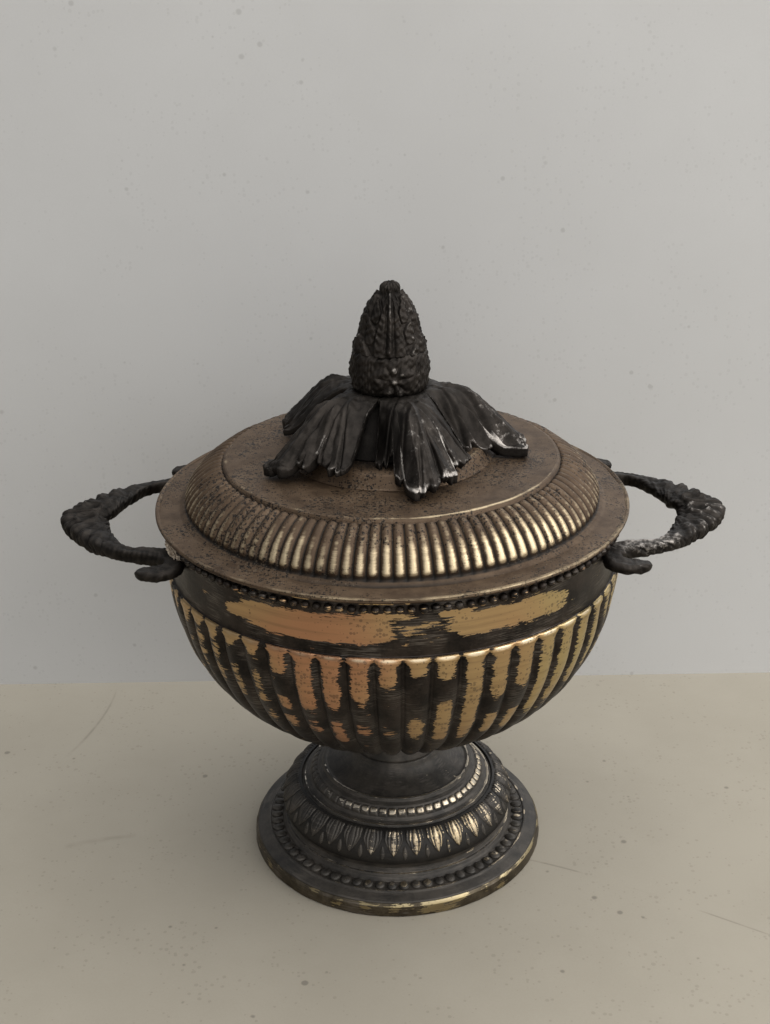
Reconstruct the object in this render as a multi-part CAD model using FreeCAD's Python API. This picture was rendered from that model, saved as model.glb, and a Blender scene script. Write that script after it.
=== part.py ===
"""Covered urn (ciborium vessel) in cast and spun brass, modelled in millimetres.

+Z is up and +X runs through the right-hand handle. The origin is on the axis, on the
surface that the foot stands on. Each physical piece is written to parts/NAME.step.
"""
import FreeCAD, Part
import math
import os

Vector = FreeCAD.Vector
Z_AXIS = Vector(0, 0, 1)
CENTRE = Vector(0, 0, 0)

# ---- driving dimensions: foot -------------------------------------------------
FOOT_RADIUS = 73.2
FOOT_BAND_HEIGHT = 7.0
FOOT_BAND_WIDTH = 8.0
FOOT_SHELL_RADIUS = 71.6
FOOT_TOP_Z = 52.0
FOOT_CAP_Z = 48.5
CLAMP_PLATE_HEIGHT = 3.0
FOOT_BEADS = 68
FOOT_BEAD_RADIUS = 61.8
FOOT_BEAD_Z = 9.4
FOOT_BEAD_SIZE = 2.0
LEAF_COUNT = 33
LEAF_FIRST_DEG = 6.27
LEAF_HALF_WIDTH = 4.7
LEAF_LENGTH = 12.0
LEAF_THICKNESS = 1.1
LEAF_COLLAR_Z = 29.0
TONGUE_COUNT = 58
NECK_RADIUS = 21.6

# ---- driving dimensions: bowl -------------------------------------------------
BOWL_BOTTOM_Z = 70.5
BOWL_WALL = 1.8
BOWL_BASE_RADIUS = 24.0
GADROON_COUNT = 54
GADROON_DEPTH = 2.9
GADROON_TURN_DEG = 1.9
SHOULDER_Z = 157.0
BAND_RADIUS = 104.2
BAND_TOP_RADIUS = 104.8
BAND_TOP_Z = 177.5
BOWL_BEADS = 136
BOWL_BEAD_Z = 180.2
BOWL_BEAD_SIZE = 2.15
RIM_RING_BOTTOM_Z = 182.8
RIM_TOP_Z = 185.0
RIM_RING_OUTER = 106.4
RIM_RING_INNER = 101.4

# ---- driving dimensions: lid --------------------------------------------------
LID_SEAT_GAP = 0.3
LID_RADIUS = 110.0
LID_WALL = 1.4
RIM_WIRE_SIZE = 1.1
FLANGE_INNER_RADIUS = 97.6
REED_COUNT = 108
REED_DEPTH = 1.1
DISC_RADIUS = 76.5
DISC_Z = 207.4
BOSS_RADIUS = 46.6
BOSS_TOP_Z = 213.8
LOCATING_RING_RADIUS = 99.8
LOCATING_RING_DEPTH = 7.0

# ---- driving dimensions: leaf rosette and finial ------------------------------
ROSETTE_LEAVES = 5
ROSETTE_FIRST_DEG = 16.0
ROSETTE_TOP_Z = 238.0
ROSETTE_TIP_RADIUS = 61.0
FINIAL_SEAT_RADIUS = 18.6
FINIAL_CUP_TOP_Z = 257.5
FINIAL_TOP_Z = 288.0

# ---- driving dimensions: handles ----------------------------------------------
HANDLE_REACH = 156.5
HANDLE_INNER_REACH = 134.0
HANDLE_HEIGHT = 7.0
HANDLE_Z = 175.5
HANDLE_FOOT_DEG = 27.5
HANDLE_EDGE_ROUND = 1.8

# ---- driving dimensions: rods, nuts and screws --------------------------------
ROD_RADIUS = 3.0
ROD_NUT_FLATS = 10.0
ROD_NUT_HEIGHT = 5.0
FLOOR_WASHER_RADIUS = 13.0
FLOOR_WASHER_HEIGHT = 1.6
STUD_RADIUS = 2.5
STUD_NUT_FLATS = 8.0
STUD_NUT_HEIGHT = 4.4
STUD_WASHER_RADIUS = 11.0
STUD_WASHER_HEIGHT = 1.4
STUD_IN_BUD = 7.0
THREAD_GAP = 0.05
ROD_HOLE_GAP = 0.3
SCREW_RADIUS = 1.6
SCREW_HEAD_RADIUS = 2.6
SCREW_Z = 174.0


# ---- helpers ------------------------------------------------------------------
def at(radius, height):
    """A point of a lathe profile, in the XZ plane."""
    return Vector(radius, 0, height)


def polar(radius, angle_deg, height):
    """A point at a radius and an angle from +X."""
    angle = math.radians(angle_deg)
    return Vector(radius * math.cos(angle), radius * math.sin(angle), height)


def straight(points):
    """Straight edges through profile points."""
    return [Part.LineSegment(a, b).toShape() for a, b in zip(points, points[1:])]


def curved(points):
    """One smooth edge through profile points."""
    spline = Part.BSplineCurve()
    spline.interpolate(points)
    return [spline.toShape()]


def lathe(edges):
    """A solid of revolution about Z from a closed run of profile edges."""
    wire = Part.Wire(Part.__sortEdges__(edges))
    turned = Part.Face(wire).revolve(CENTRE, Z_AXIS, 360)
    return Part.makeSolid(turned) if turned.ShapeType != "Solid" else turned


def turned_ring(points):
    """A solid of revolution with a straight-sided profile."""
    return lathe(straight(points + [points[0]]))


def tube(inner, outer, bottom, top):
    """A plain ring or tube on the Z axis."""
    return turned_ring([at(inner, bottom), at(outer, bottom), at(outer, top), at(inner, top)])


def offset_inwards(points, distance):
    """Profile points moved towards the inside of a shell, square to the profile."""
    moved = []
    for index, point in enumerate(points):
        before = points[max(index - 1, 0)]
        after = points[min(index + 1, len(points) - 1)]
        along = after.sub(before)
        length = math.hypot(along.x, along.z)
        moved.append(at(point.x - distance * along.z / length,
                        point.z + distance * along.x / length))
    return moved


def hex_nut(across_flats, bore, bottom, top):
    """A hexagonal nut on the Z axis."""
    corner = across_flats / math.sqrt(3)
    corners = [polar(corner, 60 * k, bottom) for k in range(7)]
    body = Part.Face(Part.makePolygon(corners)).extrude(Vector(0, 0, top - bottom))
    return body.cut(Part.makeCylinder(bore, top - bottom, Vector(0, 0, bottom)))


def around(shape, count, first_deg=0.0):
    """Copies of a shape, evenly spaced about Z."""
    copies = []
    for k in range(count):
        copy = shape.copy()
        copy.rotate(CENTRE, Z_AXIS, first_deg + 360.0 * k / count)
        copies.append(copy)
    return copies


def one_solid(shape):
    """The single solid inside a fused shape."""
    solids = shape.removeSplitter().Solids
    if len(solids) != 1:
        raise ValueError(f"expected one solid and found {len(solids)}")
    return solids[0]


def lobed_wire(crest, depth, count, height, turn_deg):
    """A closed ring at a height whose radius swells into evenly spaced round lobes."""
    steps = 4 * count
    points = []
    for k in range(steps):
        phase = abs(math.cos(math.pi * k / 4))
        points.append(polar(crest - depth * (1 - phase), 360.0 * k / steps + turn_deg, height))
    curve = Part.BSplineCurve()
    curve.interpolate(Points=points, PeriodicFlag=True,
                      Parameters=[k / steps for k in range(steps + 1)])
    return Part.Wire([curve.toShape()])


# ---- foot ---------------------------------------------------------------------
def foot_rim_band():
    """The heavy plain ring that the foot stands on."""
    inner = FOOT_RADIUS - FOOT_BAND_WIDTH
    return turned_ring([
        at(inner, 0), at(FOOT_RADIUS - 0.8, 0), at(FOOT_RADIUS, 0.9),
        at(FOOT_RADIUS - 0.7, FOOT_BAND_HEIGHT - 0.6),
        at(FOOT_RADIUS - 1.4, FOOT_BAND_HEIGHT), at(inner, FOOT_BAND_HEIGHT)])


def foot_profile():
    """Outer profile of the foot shell, from the rim band up to the neck, as runs."""
    lower = [at(FOOT_SHELL_RADIUS, FOOT_BAND_HEIGHT), at(66.2, 9.2), at(65.0, 9.2), at(64.4, 8.4),
             at(59.2, 8.4), at(58.6, 10.8), at(57.4, 12.6), at(56.0, 12.6)]
    cove = [at(56.0, 12.6), at(55.4, 15.0), at(56.6, 18.0)]
    ovolo = [at(56.6, 18.0), at(57.2, 20.5), at(56.4, 24.5), at(54.2, 28.4), at(50.6, 31.4),
             at(47.6, 32.4)]
    step = [at(47.6, 32.4), at(47.0, 33.2), at(46.0, 33.2)]
    slope = [at(46.0, 33.2), at(44.4, 33.8), at(43.4, 35.4)]
    tongue_seat = [at(43.4, 35.4), at(39.4, 39.6), at(37.0, 40.4), at(36.6, 41.6), at(35.6, 41.6)]
    trumpet = [at(35.6, 41.6), at(30.0, 43.4), at(25.6, 45.6), at(23.0, 48.4),
               at(NECK_RADIUS, FOOT_TOP_Z)]
    return lower, cove, ovolo, step, slope, tongue_seat, trumpet


def foot_shell():
    """The spun trumpet foot, hollow below, with a thick top for the tie rod."""
    lower, cove, ovolo, step, slope, tongue_seat, trumpet = foot_profile()
    hole = ROD_RADIUS + ROD_HOLE_GAP
    outside = (straight(lower) + curved(cove) + curved(ovolo) + straight(step)
               + curved(slope) + straight(tongue_seat) + curved(trumpet))
    inside = [at(hole, FOOT_CAP_Z), at(20.0, FOOT_CAP_Z), at(21.4, 46.6), at(24.6, 43.8), at(29.4, 41.7),
              at(34.8, 39.6), at(38.4, 37.4), at(42.0, 33.6), at(44.6, 31.4), at(49.6, 29.4),
              at(52.6, 26.8), at(54.4, 23.6), at(55.0, 20.5), at(54.0, 15.0), at(54.2, 11.4),
              at(57.0, 8.6), at(58.4, FOOT_BAND_HEIGHT), at(FOOT_SHELL_RADIUS, FOOT_BAND_HEIGHT)]
    cap = straight([at(NECK_RADIUS, FOOT_TOP_Z), at(hole, FOOT_TOP_Z), at(hole, FOOT_CAP_Z)])
    return lathe(outside + cap + straight(inside))


def foot_bead_ring():
    """Beaded wire that lies in the channel of the foot."""
    wire = tube(FOOT_BEAD_RADIUS - 0.8, FOOT_BEAD_RADIUS + 0.8, 8.4, 9.4)
    bead = Part.makeSphere(FOOT_BEAD_SIZE, at(FOOT_BEAD_RADIUS, FOOT_BEAD_Z))
    bead = bead.cut(tube(0, FOOT_RADIUS, 0, 8.4))
    return one_solid(wire.multiFuse(around(bead, FOOT_BEADS)))


def leaf_outline(half_width, length):
    """A pointed leaf face in the YZ plane, tip down, with its top edge at Z = 0."""
    tip = Vector(0, 0, -length)
    edges = []
    for side in (-1, 1):
        shoulder = Vector(0, side * half_width * 0.8, 0)
        belly = Vector(0, side * half_width, -0.45 * length)
        spline = Part.BSplineCurve()
        spline.interpolate([shoulder, belly, tip])
        edges.append(spline.toShape())
    edges.append(Part.LineSegment(Vector(0, -half_width * 0.8, 0),
                                  Vector(0, half_width * 0.8, 0)).toShape())
    return Part.Face(Part.Wire(Part.__sortEdges__(edges)))


def foot_leaf_band(shell):
    """A stamped band of hanging leaves that wraps the swelling of the foot."""
    _, _, ovolo, _, _, _, _ = foot_profile()
    outer = offset_inwards(ovolo, -LEAF_THICKNESS)
    skin = lathe(curved(ovolo[:5]) + straight([ovolo[4], outer[4]]) + curved(outer[:5])
                 + straight([outer[0], ovolo[0]]))
    collar = skin.common(tube(0, FOOT_RADIUS, LEAF_COLLAR_Z, FOOT_TOP_Z))
    leaf = leaf_outline(LEAF_HALF_WIDTH, LEAF_LENGTH).extrude(Vector(20, 0, 0))
    leaf.translate(Vector(45, 0, LEAF_COLLAR_Z + 2.0))
    leaves = [skin.common(piece) for piece in around(leaf, LEAF_COUNT, LEAF_FIRST_DEG)]
    return one_solid(collar.multiFuse(leaves).cut(shell))


def foot_tongue_ring():
    """A ring of small upright tongues on the slope under the neck."""
    low, high = at(43.0, 35.82), at(39.9, 39.075)
    ring = turned_ring([low, at(low.x + 0.5, low.z + 0.5), at(high.x + 0.5, high.z + 0.5), high])
    slope = math.degrees(math.atan2(high.z - low.z, low.x - high.x))
    tongue = Part.makeCylinder(0.95, 4.2, at(0, 0))
    tongue.translate(Vector(0, 0, -2.1))
    tongue.rotate(CENTRE, Vector(0, 1, 0), slope - 90)
    tongue.translate(Vector((low.x + high.x) / 2 + 0.6, 0, (low.z + high.z) / 2 + 0.6))
    under = turned_ring([low, high, at(0, high.z), at(0, 20), at(low.x, 20)])
    tongue = tongue.cut(under)
    return one_solid(ring.multiFuse(around(tongue, TONGUE_COUNT)))


def stem_collar():
    """The waisted tube between foot and bowl."""
    bore = NECK_RADIUS - 5.0
    outside = [at(NECK_RADIUS, FOOT_TOP_Z), at(20.4, 56.0), at(19.4, 61.0), at(20.6, 66.4),
               at(BOWL_BASE_RADIUS, BOWL_BOTTOM_Z)]
    rest = [outside[-1], at(bore, BOWL_BOTTOM_Z), at(bore, FOOT_TOP_Z), outside[0]]
    return lathe(curved(outside) + straight(rest))


def foot_clamp_plate():
    """The plate under the foot's top that the lower nut bears on."""
    hole = ROD_RADIUS + ROD_HOLE_GAP
    bottom = FOOT_CAP_Z - CLAMP_PLATE_HEIGHT
    return turned_ring([at(hole, bottom), at(12.0, bottom), at(16.0, bottom + 1.4),
                        at(16.0, FOOT_CAP_Z), at(hole, FOOT_CAP_Z)])


# ---- bowl ---------------------------------------------------------------------
def bowl_crests():
    """Radius and height of the gadroon crests, from the base to the shoulder."""
    return [(26.0, 71.4), (34.0, 73.0), (46.0, 76.5), (57.5, 81.0), (66.5, 86.0), (73.5, 91.0),
            (79.8, 96.0), (88.9, 106.0), (95.2, 116.0), (99.8, 126.0), (103.1, 136.0),
            (104.9, 146.0), (105.9, 154.5), (105.2, SHOULDER_Z)]


def gadroon_depth(radius):
    """The lobes grow out of the smooth base and reach full depth on the belly."""
    share = (radius - BOWL_BASE_RADIUS) / (80.0 - BOWL_BASE_RADIUS)
    return GADROON_DEPTH * max(0.08, min(1.0, share))


def bowl_shell():
    """The gadrooned bowl with its plain upper band, open at the top."""
    crests = bowl_crests()
    wires = [lobed_wire(radius, gadroon_depth(radius), GADROON_COUNT, height, GADROON_TURN_DEG)
             for radius, height in crests]
    belly = Part.makeLoft(wires, True, False)
    base = turned_ring([at(0, BOWL_BOTTOM_Z), at(BOWL_BASE_RADIUS, BOWL_BOTTOM_Z),
                        at(25.4, 71.4), at(0, 71.4)])
    band = turned_ring([at(0, SHOULDER_Z), at(BAND_RADIUS, SHOULDER_Z),
                        at(BAND_TOP_RADIUS, BAND_TOP_Z),
                        at(BAND_TOP_RADIUS, RIM_RING_BOTTOM_Z), at(0, RIM_RING_BOTTOM_Z)])
    valleys = [at(radius - gadroon_depth(radius), height) for radius, height in crests[1:-1]]
    inner = offset_inwards(valleys, BOWL_WALL)
    floor_z = inner[0].z
    wall_top = BAND_TOP_RADIUS - BOWL_WALL - 0.4
    hollow = lathe(straight([at(0, floor_z), inner[0]]) + curved(inner)
                   + straight([inner[-1], at(wall_top, SHOULDER_Z + 4.0),
                               at(wall_top, RIM_TOP_Z), at(0, RIM_TOP_Z), at(0, floor_z)]))
    bowl = belly.multiFuse([base, band]).cut(hollow)
    bowl = bowl.cut(Part.makeCylinder(ROD_RADIUS + ROD_HOLE_GAP, 20, Vector(0, 0, 60)))
    for hole in screw_cylinders(SCREW_RADIUS + ROD_HOLE_GAP, 96.0, 108.0):
        bowl = bowl.cut(hole)
    return one_solid(bowl), floor_z, wall_top


def bowl_bead_ring():
    """Beaded strip soldered round the bowl under the rim."""
    strip = tube(BAND_TOP_RADIUS, BAND_TOP_RADIUS + 0.9, BOWL_BEAD_Z - 1.7, BOWL_BEAD_Z + 1.7)
    bead = Part.makeSphere(BOWL_BEAD_SIZE, at(BAND_TOP_RADIUS + 0.7, BOWL_BEAD_Z))
    bead = bead.cut(Part.makeCylinder(BAND_TOP_RADIUS, 20, Vector(0, 0, BAND_TOP_Z - 8)))
    return one_solid(strip.multiFuse(around(bead, BOWL_BEADS)))


def bowl_rim_ring():
    """The flat ring on the bowl's mouth that carries the lid."""
    return turned_ring([
        at(RIM_RING_INNER, RIM_RING_BOTTOM_Z), at(RIM_RING_OUTER, RIM_RING_BOTTOM_Z),
        at(RIM_RING_OUTER, RIM_TOP_Z - 0.5), at(RIM_RING_OUTER - 0.5, RIM_TOP_Z),
        at(RIM_RING_INNER, RIM_TOP_Z)])


# ---- tie rod ------------------------------------------------------------------
def tie_rod_pieces(floor_z):
    """The rod, washers and nuts that clamp foot, stem and bowl together."""
    hole = ROD_RADIUS + ROD_HOLE_GAP
    bore = ROD_RADIUS + THREAD_GAP
    washer_top = floor_z + FLOOR_WASHER_HEIGHT
    nut_top = washer_top + ROD_NUT_HEIGHT
    plate_bottom = FOOT_CAP_Z - CLAMP_PLATE_HEIGHT
    nut_bottom = plate_bottom - ROD_NUT_HEIGHT
    rod_bottom = nut_bottom - 3.5
    rod_top = nut_top + 1.5
    return {
        "tie_rod": Part.makeCylinder(ROD_RADIUS, rod_top - rod_bottom, at(0, rod_bottom)),
        "tie_rod_lower_nut": hex_nut(ROD_NUT_FLATS, bore, nut_bottom, plate_bottom),
        "bowl_floor_washer": tube(hole, FLOOR_WASHER_RADIUS, floor_z, washer_top),
        "tie_rod_upper_nut": hex_nut(ROD_NUT_FLATS, bore, washer_top, nut_top),
    }


# ---- handles ------------------------------------------------------------------
def screw_directions():
    """The angles from +X of the four handle screws."""
    return [HANDLE_FOOT_DEG, -HANDLE_FOOT_DEG, 180 - HANDLE_FOOT_DEG, 180 + HANDLE_FOOT_DEG]


def screw_cylinders(radius, start, end):
    """Radial cylinders on the four screw axes."""
    return [Part.makeCylinder(radius, end - start, polar(start, angle, SCREW_Z),
                              polar(1, angle, 0)) for angle in screw_directions()]


def handle_half_outline():
    """Plan points of the front half: outer edge from the tip, the foot's hook, inner edge."""
    outer = [(HANDLE_REACH, 0.0), (151.0, -11.0), (140.5, -25.5), (129.0, -36.6),
             (119.0, -42.2), (109.5, -45.6), (104.2, -49.4)]
    hook = [(104.2, -49.4), (103.4, -52.6), (106.0, -55.2), (109.2, -58.0), (107.6, -63.6),
            (100.6, -65.8), (92.0, -62.2), (89.0, -55.0)]
    inner = [(HANDLE_INNER_REACH, 0.0), (132.8, -10.0), (127.8, -22.5), (121.6, -33.0),
             (115.0, -37.4), (107.0, -38.6), (100.0, -37.0), (96.0, -35.0)]
    return outer, hook, inner


def handle_right():
    """A cast loop: two arms that end in hooked scrolls against the bowl."""
    outer, hook, inner = handle_half_outline()
    low = HANDLE_Z - HANDLE_HEIGHT / 2

    def edge(points, mirror):
        placed = [Vector(x, -y if mirror else y, low) for x, y in points]
        return curved(placed)[0]

    def whole_edge(half):
        back = [(x, -y) for x, y in reversed(half)]
        return edge(back + half[1:], False)

    runs = [whole_edge(outer), whole_edge(inner)]
    for mirror in (False, True):
        ends = [Vector(x, -y if mirror else y, low) for x, y in (hook[-1], inner[-1])]
        runs += [edge(hook, mirror), Part.LineSegment(*ends).toShape()]
    plan = Part.Face(Part.Wire(Part.__sortEdges__(runs)))
    loop = plan.extrude(Vector(0, 0, HANDLE_HEIGHT))
    flat = [e for e in loop.Edges if abs(e.CenterOfMass.z - HANDLE_Z) > HANDLE_HEIGHT / 2 - 0.01]
    loop = loop.makeChamfer(HANDLE_EDGE_ROUND, flat)
    beads = tube(0, BAND_TOP_RADIUS + 3.2, BOWL_BEAD_Z - 2.6, RIM_TOP_Z)
    wall = turned_ring([at(0, SHOULDER_Z), at(BAND_RADIUS, SHOULDER_Z),
                        at(BAND_TOP_RADIUS, BAND_TOP_Z), at(0, BAND_TOP_Z)])
    loop = loop.cut(wall).cut(beads)
    for hole in screw_cylinders(SCREW_RADIUS + THREAD_GAP, 100.0, 110.0):
        loop = loop.cut(hole)
    return one_solid(loop)


def handle_left(right):
    """The same casting turned half round."""
    left = right.copy()
    left.rotate(CENTRE, Z_AXIS, 180)
    return left


def handle_screws(wall):
    """Four screws that hold the handles from inside the bowl."""
    shanks = screw_cylinders(SCREW_RADIUS, wall - 1.2, 109.5)
    heads = screw_cylinders(SCREW_HEAD_RADIUS, wall - 3.0, wall - 1.2)
    return [one_solid(shank.fuse(head)) for shank, head in zip(shanks, heads)]


def handle_washers(wall):
    """Saddle washers between screw heads and the bowl's curved wall."""
    inside = Part.makeCylinder(wall, 40, Vector(0, 0, SCREW_Z - 20))
    blanks = screw_cylinders(SCREW_HEAD_RADIUS + 0.8, wall - 1.2, wall + 1.0)
    holes = screw_cylinders(SCREW_RADIUS + ROD_HOLE_GAP, wall - 3.0, wall + 2.0)
    return [blank.common(inside).cut(hole) for blank, hole in zip(blanks, holes)]


# ---- lid ----------------------------------------------------------------------
def flange_bottom():
    """Height of the lid flange's underside."""
    return RIM_TOP_Z + LID_SEAT_GAP


def lid_shell():
    """The spun lid: flat flange, reeded dome and flat top disc."""
    bottom = flange_bottom()
    top = bottom + 1.2
    wire_edge = LID_RADIUS - 2 * RIM_WIRE_SIZE
    reeds = [(96.6, 188.8), (95.2, 192.0), (92.6, 196.0), (88.8, 200.0), (83.8, 203.8),
             (79.0, 206.0)]
    wires = [lobed_wire(radius, REED_DEPTH, REED_COUNT, height, 0) for radius, height in reeds]
    dome = Part.makeLoft(wires, True, False)
    flange = turned_ring([at(0, bottom), at(wire_edge, bottom), at(wire_edge, top),
                          at(FLANGE_INNER_RADIUS + 1.2, top + 0.3), at(FLANGE_INNER_RADIUS, 188.0),
                          at(95.2, 188.8), at(0, 188.8)])
    disc = turned_ring([at(0, 206.0), at(77.7, 206.0), at(77.4, 206.4), at(DISC_RADIUS, DISC_Z),
                        at(0, DISC_Z)])
    under = [at(96.0, bottom), at(95.0, 187.4), at(92.6, 191.0), at(89.2, 195.4),
             at(85.0, 198.9), at(80.0, 202.2), at(75.0, 204.6), at(70.0, DISC_Z - LID_WALL)]
    hollow = lathe(curved(under) + straight([under[-1], at(0, DISC_Z - LID_WALL), at(0, bottom),
                                             under[0]]))
    lid = dome.multiFuse([flange, disc]).cut(hollow)
    lid = lid.cut(Part.makeCylinder(STUD_RADIUS + ROD_HOLE_GAP, 30, Vector(0, 0, 190)))
    return one_solid(lid)


def lid_rim_wire():
    """Round wire that stiffens the lid's edge."""
    height = flange_bottom() + 0.6
    return Part.makeTorus(LID_RADIUS - RIM_WIRE_SIZE, RIM_WIRE_SIZE, Vector(0, 0, height))


def lid_locating_ring():
    """The ring under the flange that keeps the lid central in the bowl's mouth."""
    top = flange_bottom()
    return tube(LOCATING_RING_RADIUS - 1.6, LOCATING_RING_RADIUS, top - LOCATING_RING_DEPTH, top)


def lid_boss():
    """The raised round cap in the middle of the lid."""
    hole = STUD_RADIUS + ROD_HOLE_GAP
    side = [at(BOSS_RADIUS, DISC_Z), at(BOSS_RADIUS - 0.4, BOSS_TOP_Z - 1.6),
            at(BOSS_RADIUS - 2.2, BOSS_TOP_Z)]
    rest = [side[-1], at(hole, BOSS_TOP_Z), at(hole, BOSS_TOP_Z - 1.6),
            at(BOSS_RADIUS - 3.2, BOSS_TOP_Z - 1.6), at(BOSS_RADIUS - 1.8, DISC_Z), side[0]]
    return lathe(curved(side) + straight(rest))


# ---- rosette and finial -------------------------------------------------------
def rosette_ribbon():
    """Side view of one leaf: it springs from the hub, humps over and droops to its tip."""
    top = [at(10.0, 238.0), at(20.0, 240.6), at(28.0, 239.2), at(38.0, 232.6), at(48.0, 223.4),
           at(56.0, 215.6), at(ROSETTE_TIP_RADIUS, 212.6)]
    under = offset_inwards(top, -3.2)
    face = Part.Face(Part.Wire(Part.__sortEdges__(
        curved(top) + straight([top[-1], under[-1]]) + curved(under)
        + straight([under[0], top[0]]))))
    ribbon = face.extrude(Vector(0, 60, 0))
    ribbon.translate(Vector(0, -30, 0))
    return ribbon


def rosette_leaf():
    """One lobed leaf cut out of the ribbon; its right-hand lobes are the larger ones."""
    tip = ROSETTE_TIP_RADIUS
    outline = [(8.0, -6.0), (20.0, -9.5), (27.0, -15.0), (33.0, -16.5), (36.0, -12.5),
               (33.5, -9.5), (41.0, -13.0), (47.0, -11.0), (48.0, -7.5), (46.5, -5.5),
               (56.0, -7.5), (tip - 0.5, -5.5), (tip, -2.0), (57.5, 0.0), (tip - 0.5, 2.0),
               (58.5, 5.2), (48.0, 5.0), (54.5, 9.0), (54.0, 12.5), (50.0, 13.0), (39.0, 10.0),
               (44.5, 20.0), (42.5, 24.0), (37.5, 25.0), (28.0, 15.0), (20.0, 9.5), (8.0, 6.0)]
    points = [Vector(x, y, 200) for x, y in outline]
    plan = Part.Face(Part.makePolygon(points + [points[0]]))
    return rosette_ribbon().common(plan.extrude(Vector(0, 0, 60)))


def leaf_rosette():
    """The cast rosette: a hollow bell-shaped hub with drooping leaves."""
    hole = STUD_RADIUS + THREAD_GAP
    bell = [at(31.0, BOSS_TOP_Z), at(27.0, 221.0), at(21.0, 230.0), at(17.4, ROSETTE_TOP_Z)]
    rest = [bell[-1], at(hole, ROSETTE_TOP_Z), at(hole, ROSETTE_TOP_Z - 6.0),
            at(12.0, ROSETTE_TOP_Z - 6.0), at(26.5, BOSS_TOP_Z), bell[0]]
    hub = lathe(curved(bell) + straight(rest))
    leaves = around(rosette_leaf(), ROSETTE_LEAVES, ROSETTE_FIRST_DEG - 90)
    whole = hub.multiFuse(leaves)
    above = tube(0, FINIAL_SEAT_RADIUS, ROSETTE_TOP_Z, ROSETTE_TOP_Z + 10)
    inside = turned_ring([at(0, BOSS_TOP_Z), at(26.5, BOSS_TOP_Z), at(12.0, ROSETTE_TOP_Z - 6.0),
                          at(0, ROSETTE_TOP_Z - 6.0)])
    whole = whole.cut(above).cut(inside)
    return one_solid(whole.cut(Part.makeCylinder(hole, 20, Vector(0, 0, ROSETTE_TOP_Z - 10))))


def finial_cup():
    """The lower cup of the bud."""
    hole = STUD_RADIUS + THREAD_GAP
    side = [at(16.6, ROSETTE_TOP_Z), at(17.8, 241.0), at(18.0, 247.0), at(17.6, 252.0),
            at(16.4, FINIAL_CUP_TOP_Z)]
    rest = [side[-1], at(hole, FINIAL_CUP_TOP_Z), at(hole, ROSETTE_TOP_Z), side[0]]
    return lathe(curved(side) + straight(rest))


def finial_bud():
    """The cone of overlapping bracts with its blunt knob."""
    hole = STUD_RADIUS + THREAD_GAP
    low = FINIAL_CUP_TOP_Z
    side = [at(15.4, low), at(16.0, low + 1.6), at(15.2, low + 4.2), at(13.4, low + 6.6),
            at(14.0, low + 8.4), at(13.4, low + 11.0), at(12.2, low + 13.4),
            at(12.8, low + 15.2), at(12.0, low + 17.6), at(9.3, low + 22.0),
            at(5.0, low + 26.0), at(4.9, low + 28.6), at(2.4, FINIAL_TOP_Z), at(0, FINIAL_TOP_Z)]
    blind = low + STUD_IN_BUD + 0.5
    rest = [side[-1], at(0, blind), at(hole, blind), at(hole, low), side[0]]
    return lathe(straight(side + rest[1:]))


def finial_fastening():
    """The stud, washer and nut that hold rosette and bud on the lid."""
    hole = STUD_RADIUS + ROD_HOLE_GAP
    disc_under = DISC_Z - LID_WALL
    washer_bottom = disc_under - STUD_WASHER_HEIGHT
    nut_bottom = washer_bottom - STUD_NUT_HEIGHT
    stud_bottom = nut_bottom - 2.2
    stud_top = FINIAL_CUP_TOP_Z + STUD_IN_BUD
    return {
        "finial_stud": Part.makeCylinder(STUD_RADIUS, stud_top - stud_bottom,
                                         at(0, stud_bottom)),
        "finial_washer": tube(hole, STUD_WASHER_RADIUS, washer_bottom, disc_under),
        "finial_nut": hex_nut(STUD_NUT_FLATS, STUD_RADIUS + THREAD_GAP, nut_bottom,
                              washer_bottom),
    }


# ---- assembly -----------------------------------------------------------------
def build():
    """Every node's name and its solid or solids."""
    shell = foot_shell()
    bowl, floor_z, wall = bowl_shell()
    right = handle_right()
    nodes = {
        "foot_rim_band": foot_rim_band(),
        "foot_shell": shell,
        "foot_bead_ring": foot_bead_ring(),
        "foot_leaf_band": foot_leaf_band(shell),
        "foot_tongue_ring": foot_tongue_ring(),
        "foot_clamp_plate": foot_clamp_plate(),
        "stem_collar": stem_collar(),
        "bowl_shell": bowl,
        "bowl_bead_ring": bowl_bead_ring(),
        "bowl_rim_ring": bowl_rim_ring(),
        "handle_right": right,
        "handle_left": handle_left(right),
        "handle_screws": Part.makeCompound(handle_screws(wall)),
        "handle_washers": Part.makeCompound(handle_washers(wall)),
        "lid_shell": lid_shell(),
        "lid_rim_wire": lid_rim_wire(),
        "lid_locating_ring": lid_locating_ring(),
        "lid_boss": lid_boss(),
        "leaf_rosette": leaf_rosette(),
        "finial_cup": finial_cup(),
        "finial_bud": finial_bud(),
    }
    nodes.update(tie_rod_pieces(floor_z))
    nodes.update(finial_fastening())
    return nodes


os.makedirs("parts", exist_ok=True)
for name, shape in build().items():
    shape.exportStep(os.path.join("parts", name + ".step"))
    box = shape.BoundBox
    print(f"{name:20s} valid {shape.isValid()} solids {len(shape.Solids)} "
          f"volume {shape.Volume:10.1f} z {box.ZMin:7.2f} {box.ZMax:7.2f} x {box.XMax:7.2f}")
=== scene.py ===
"""Looks of a covered brass urn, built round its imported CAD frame.

Size fields and profile points are in millimetres, and meshes are made in metres in the frame's
own axes. An azimuth is in degrees: 0 faces the front (-Y) and 90 is the right-hand side (+X).
"""

import logging
import math
from dataclasses import dataclass, field
from enum import Enum
from typing import Callable, Optional, Sequence

import bpy
import numpy as np
from mathutils import Matrix, Vector


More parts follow.
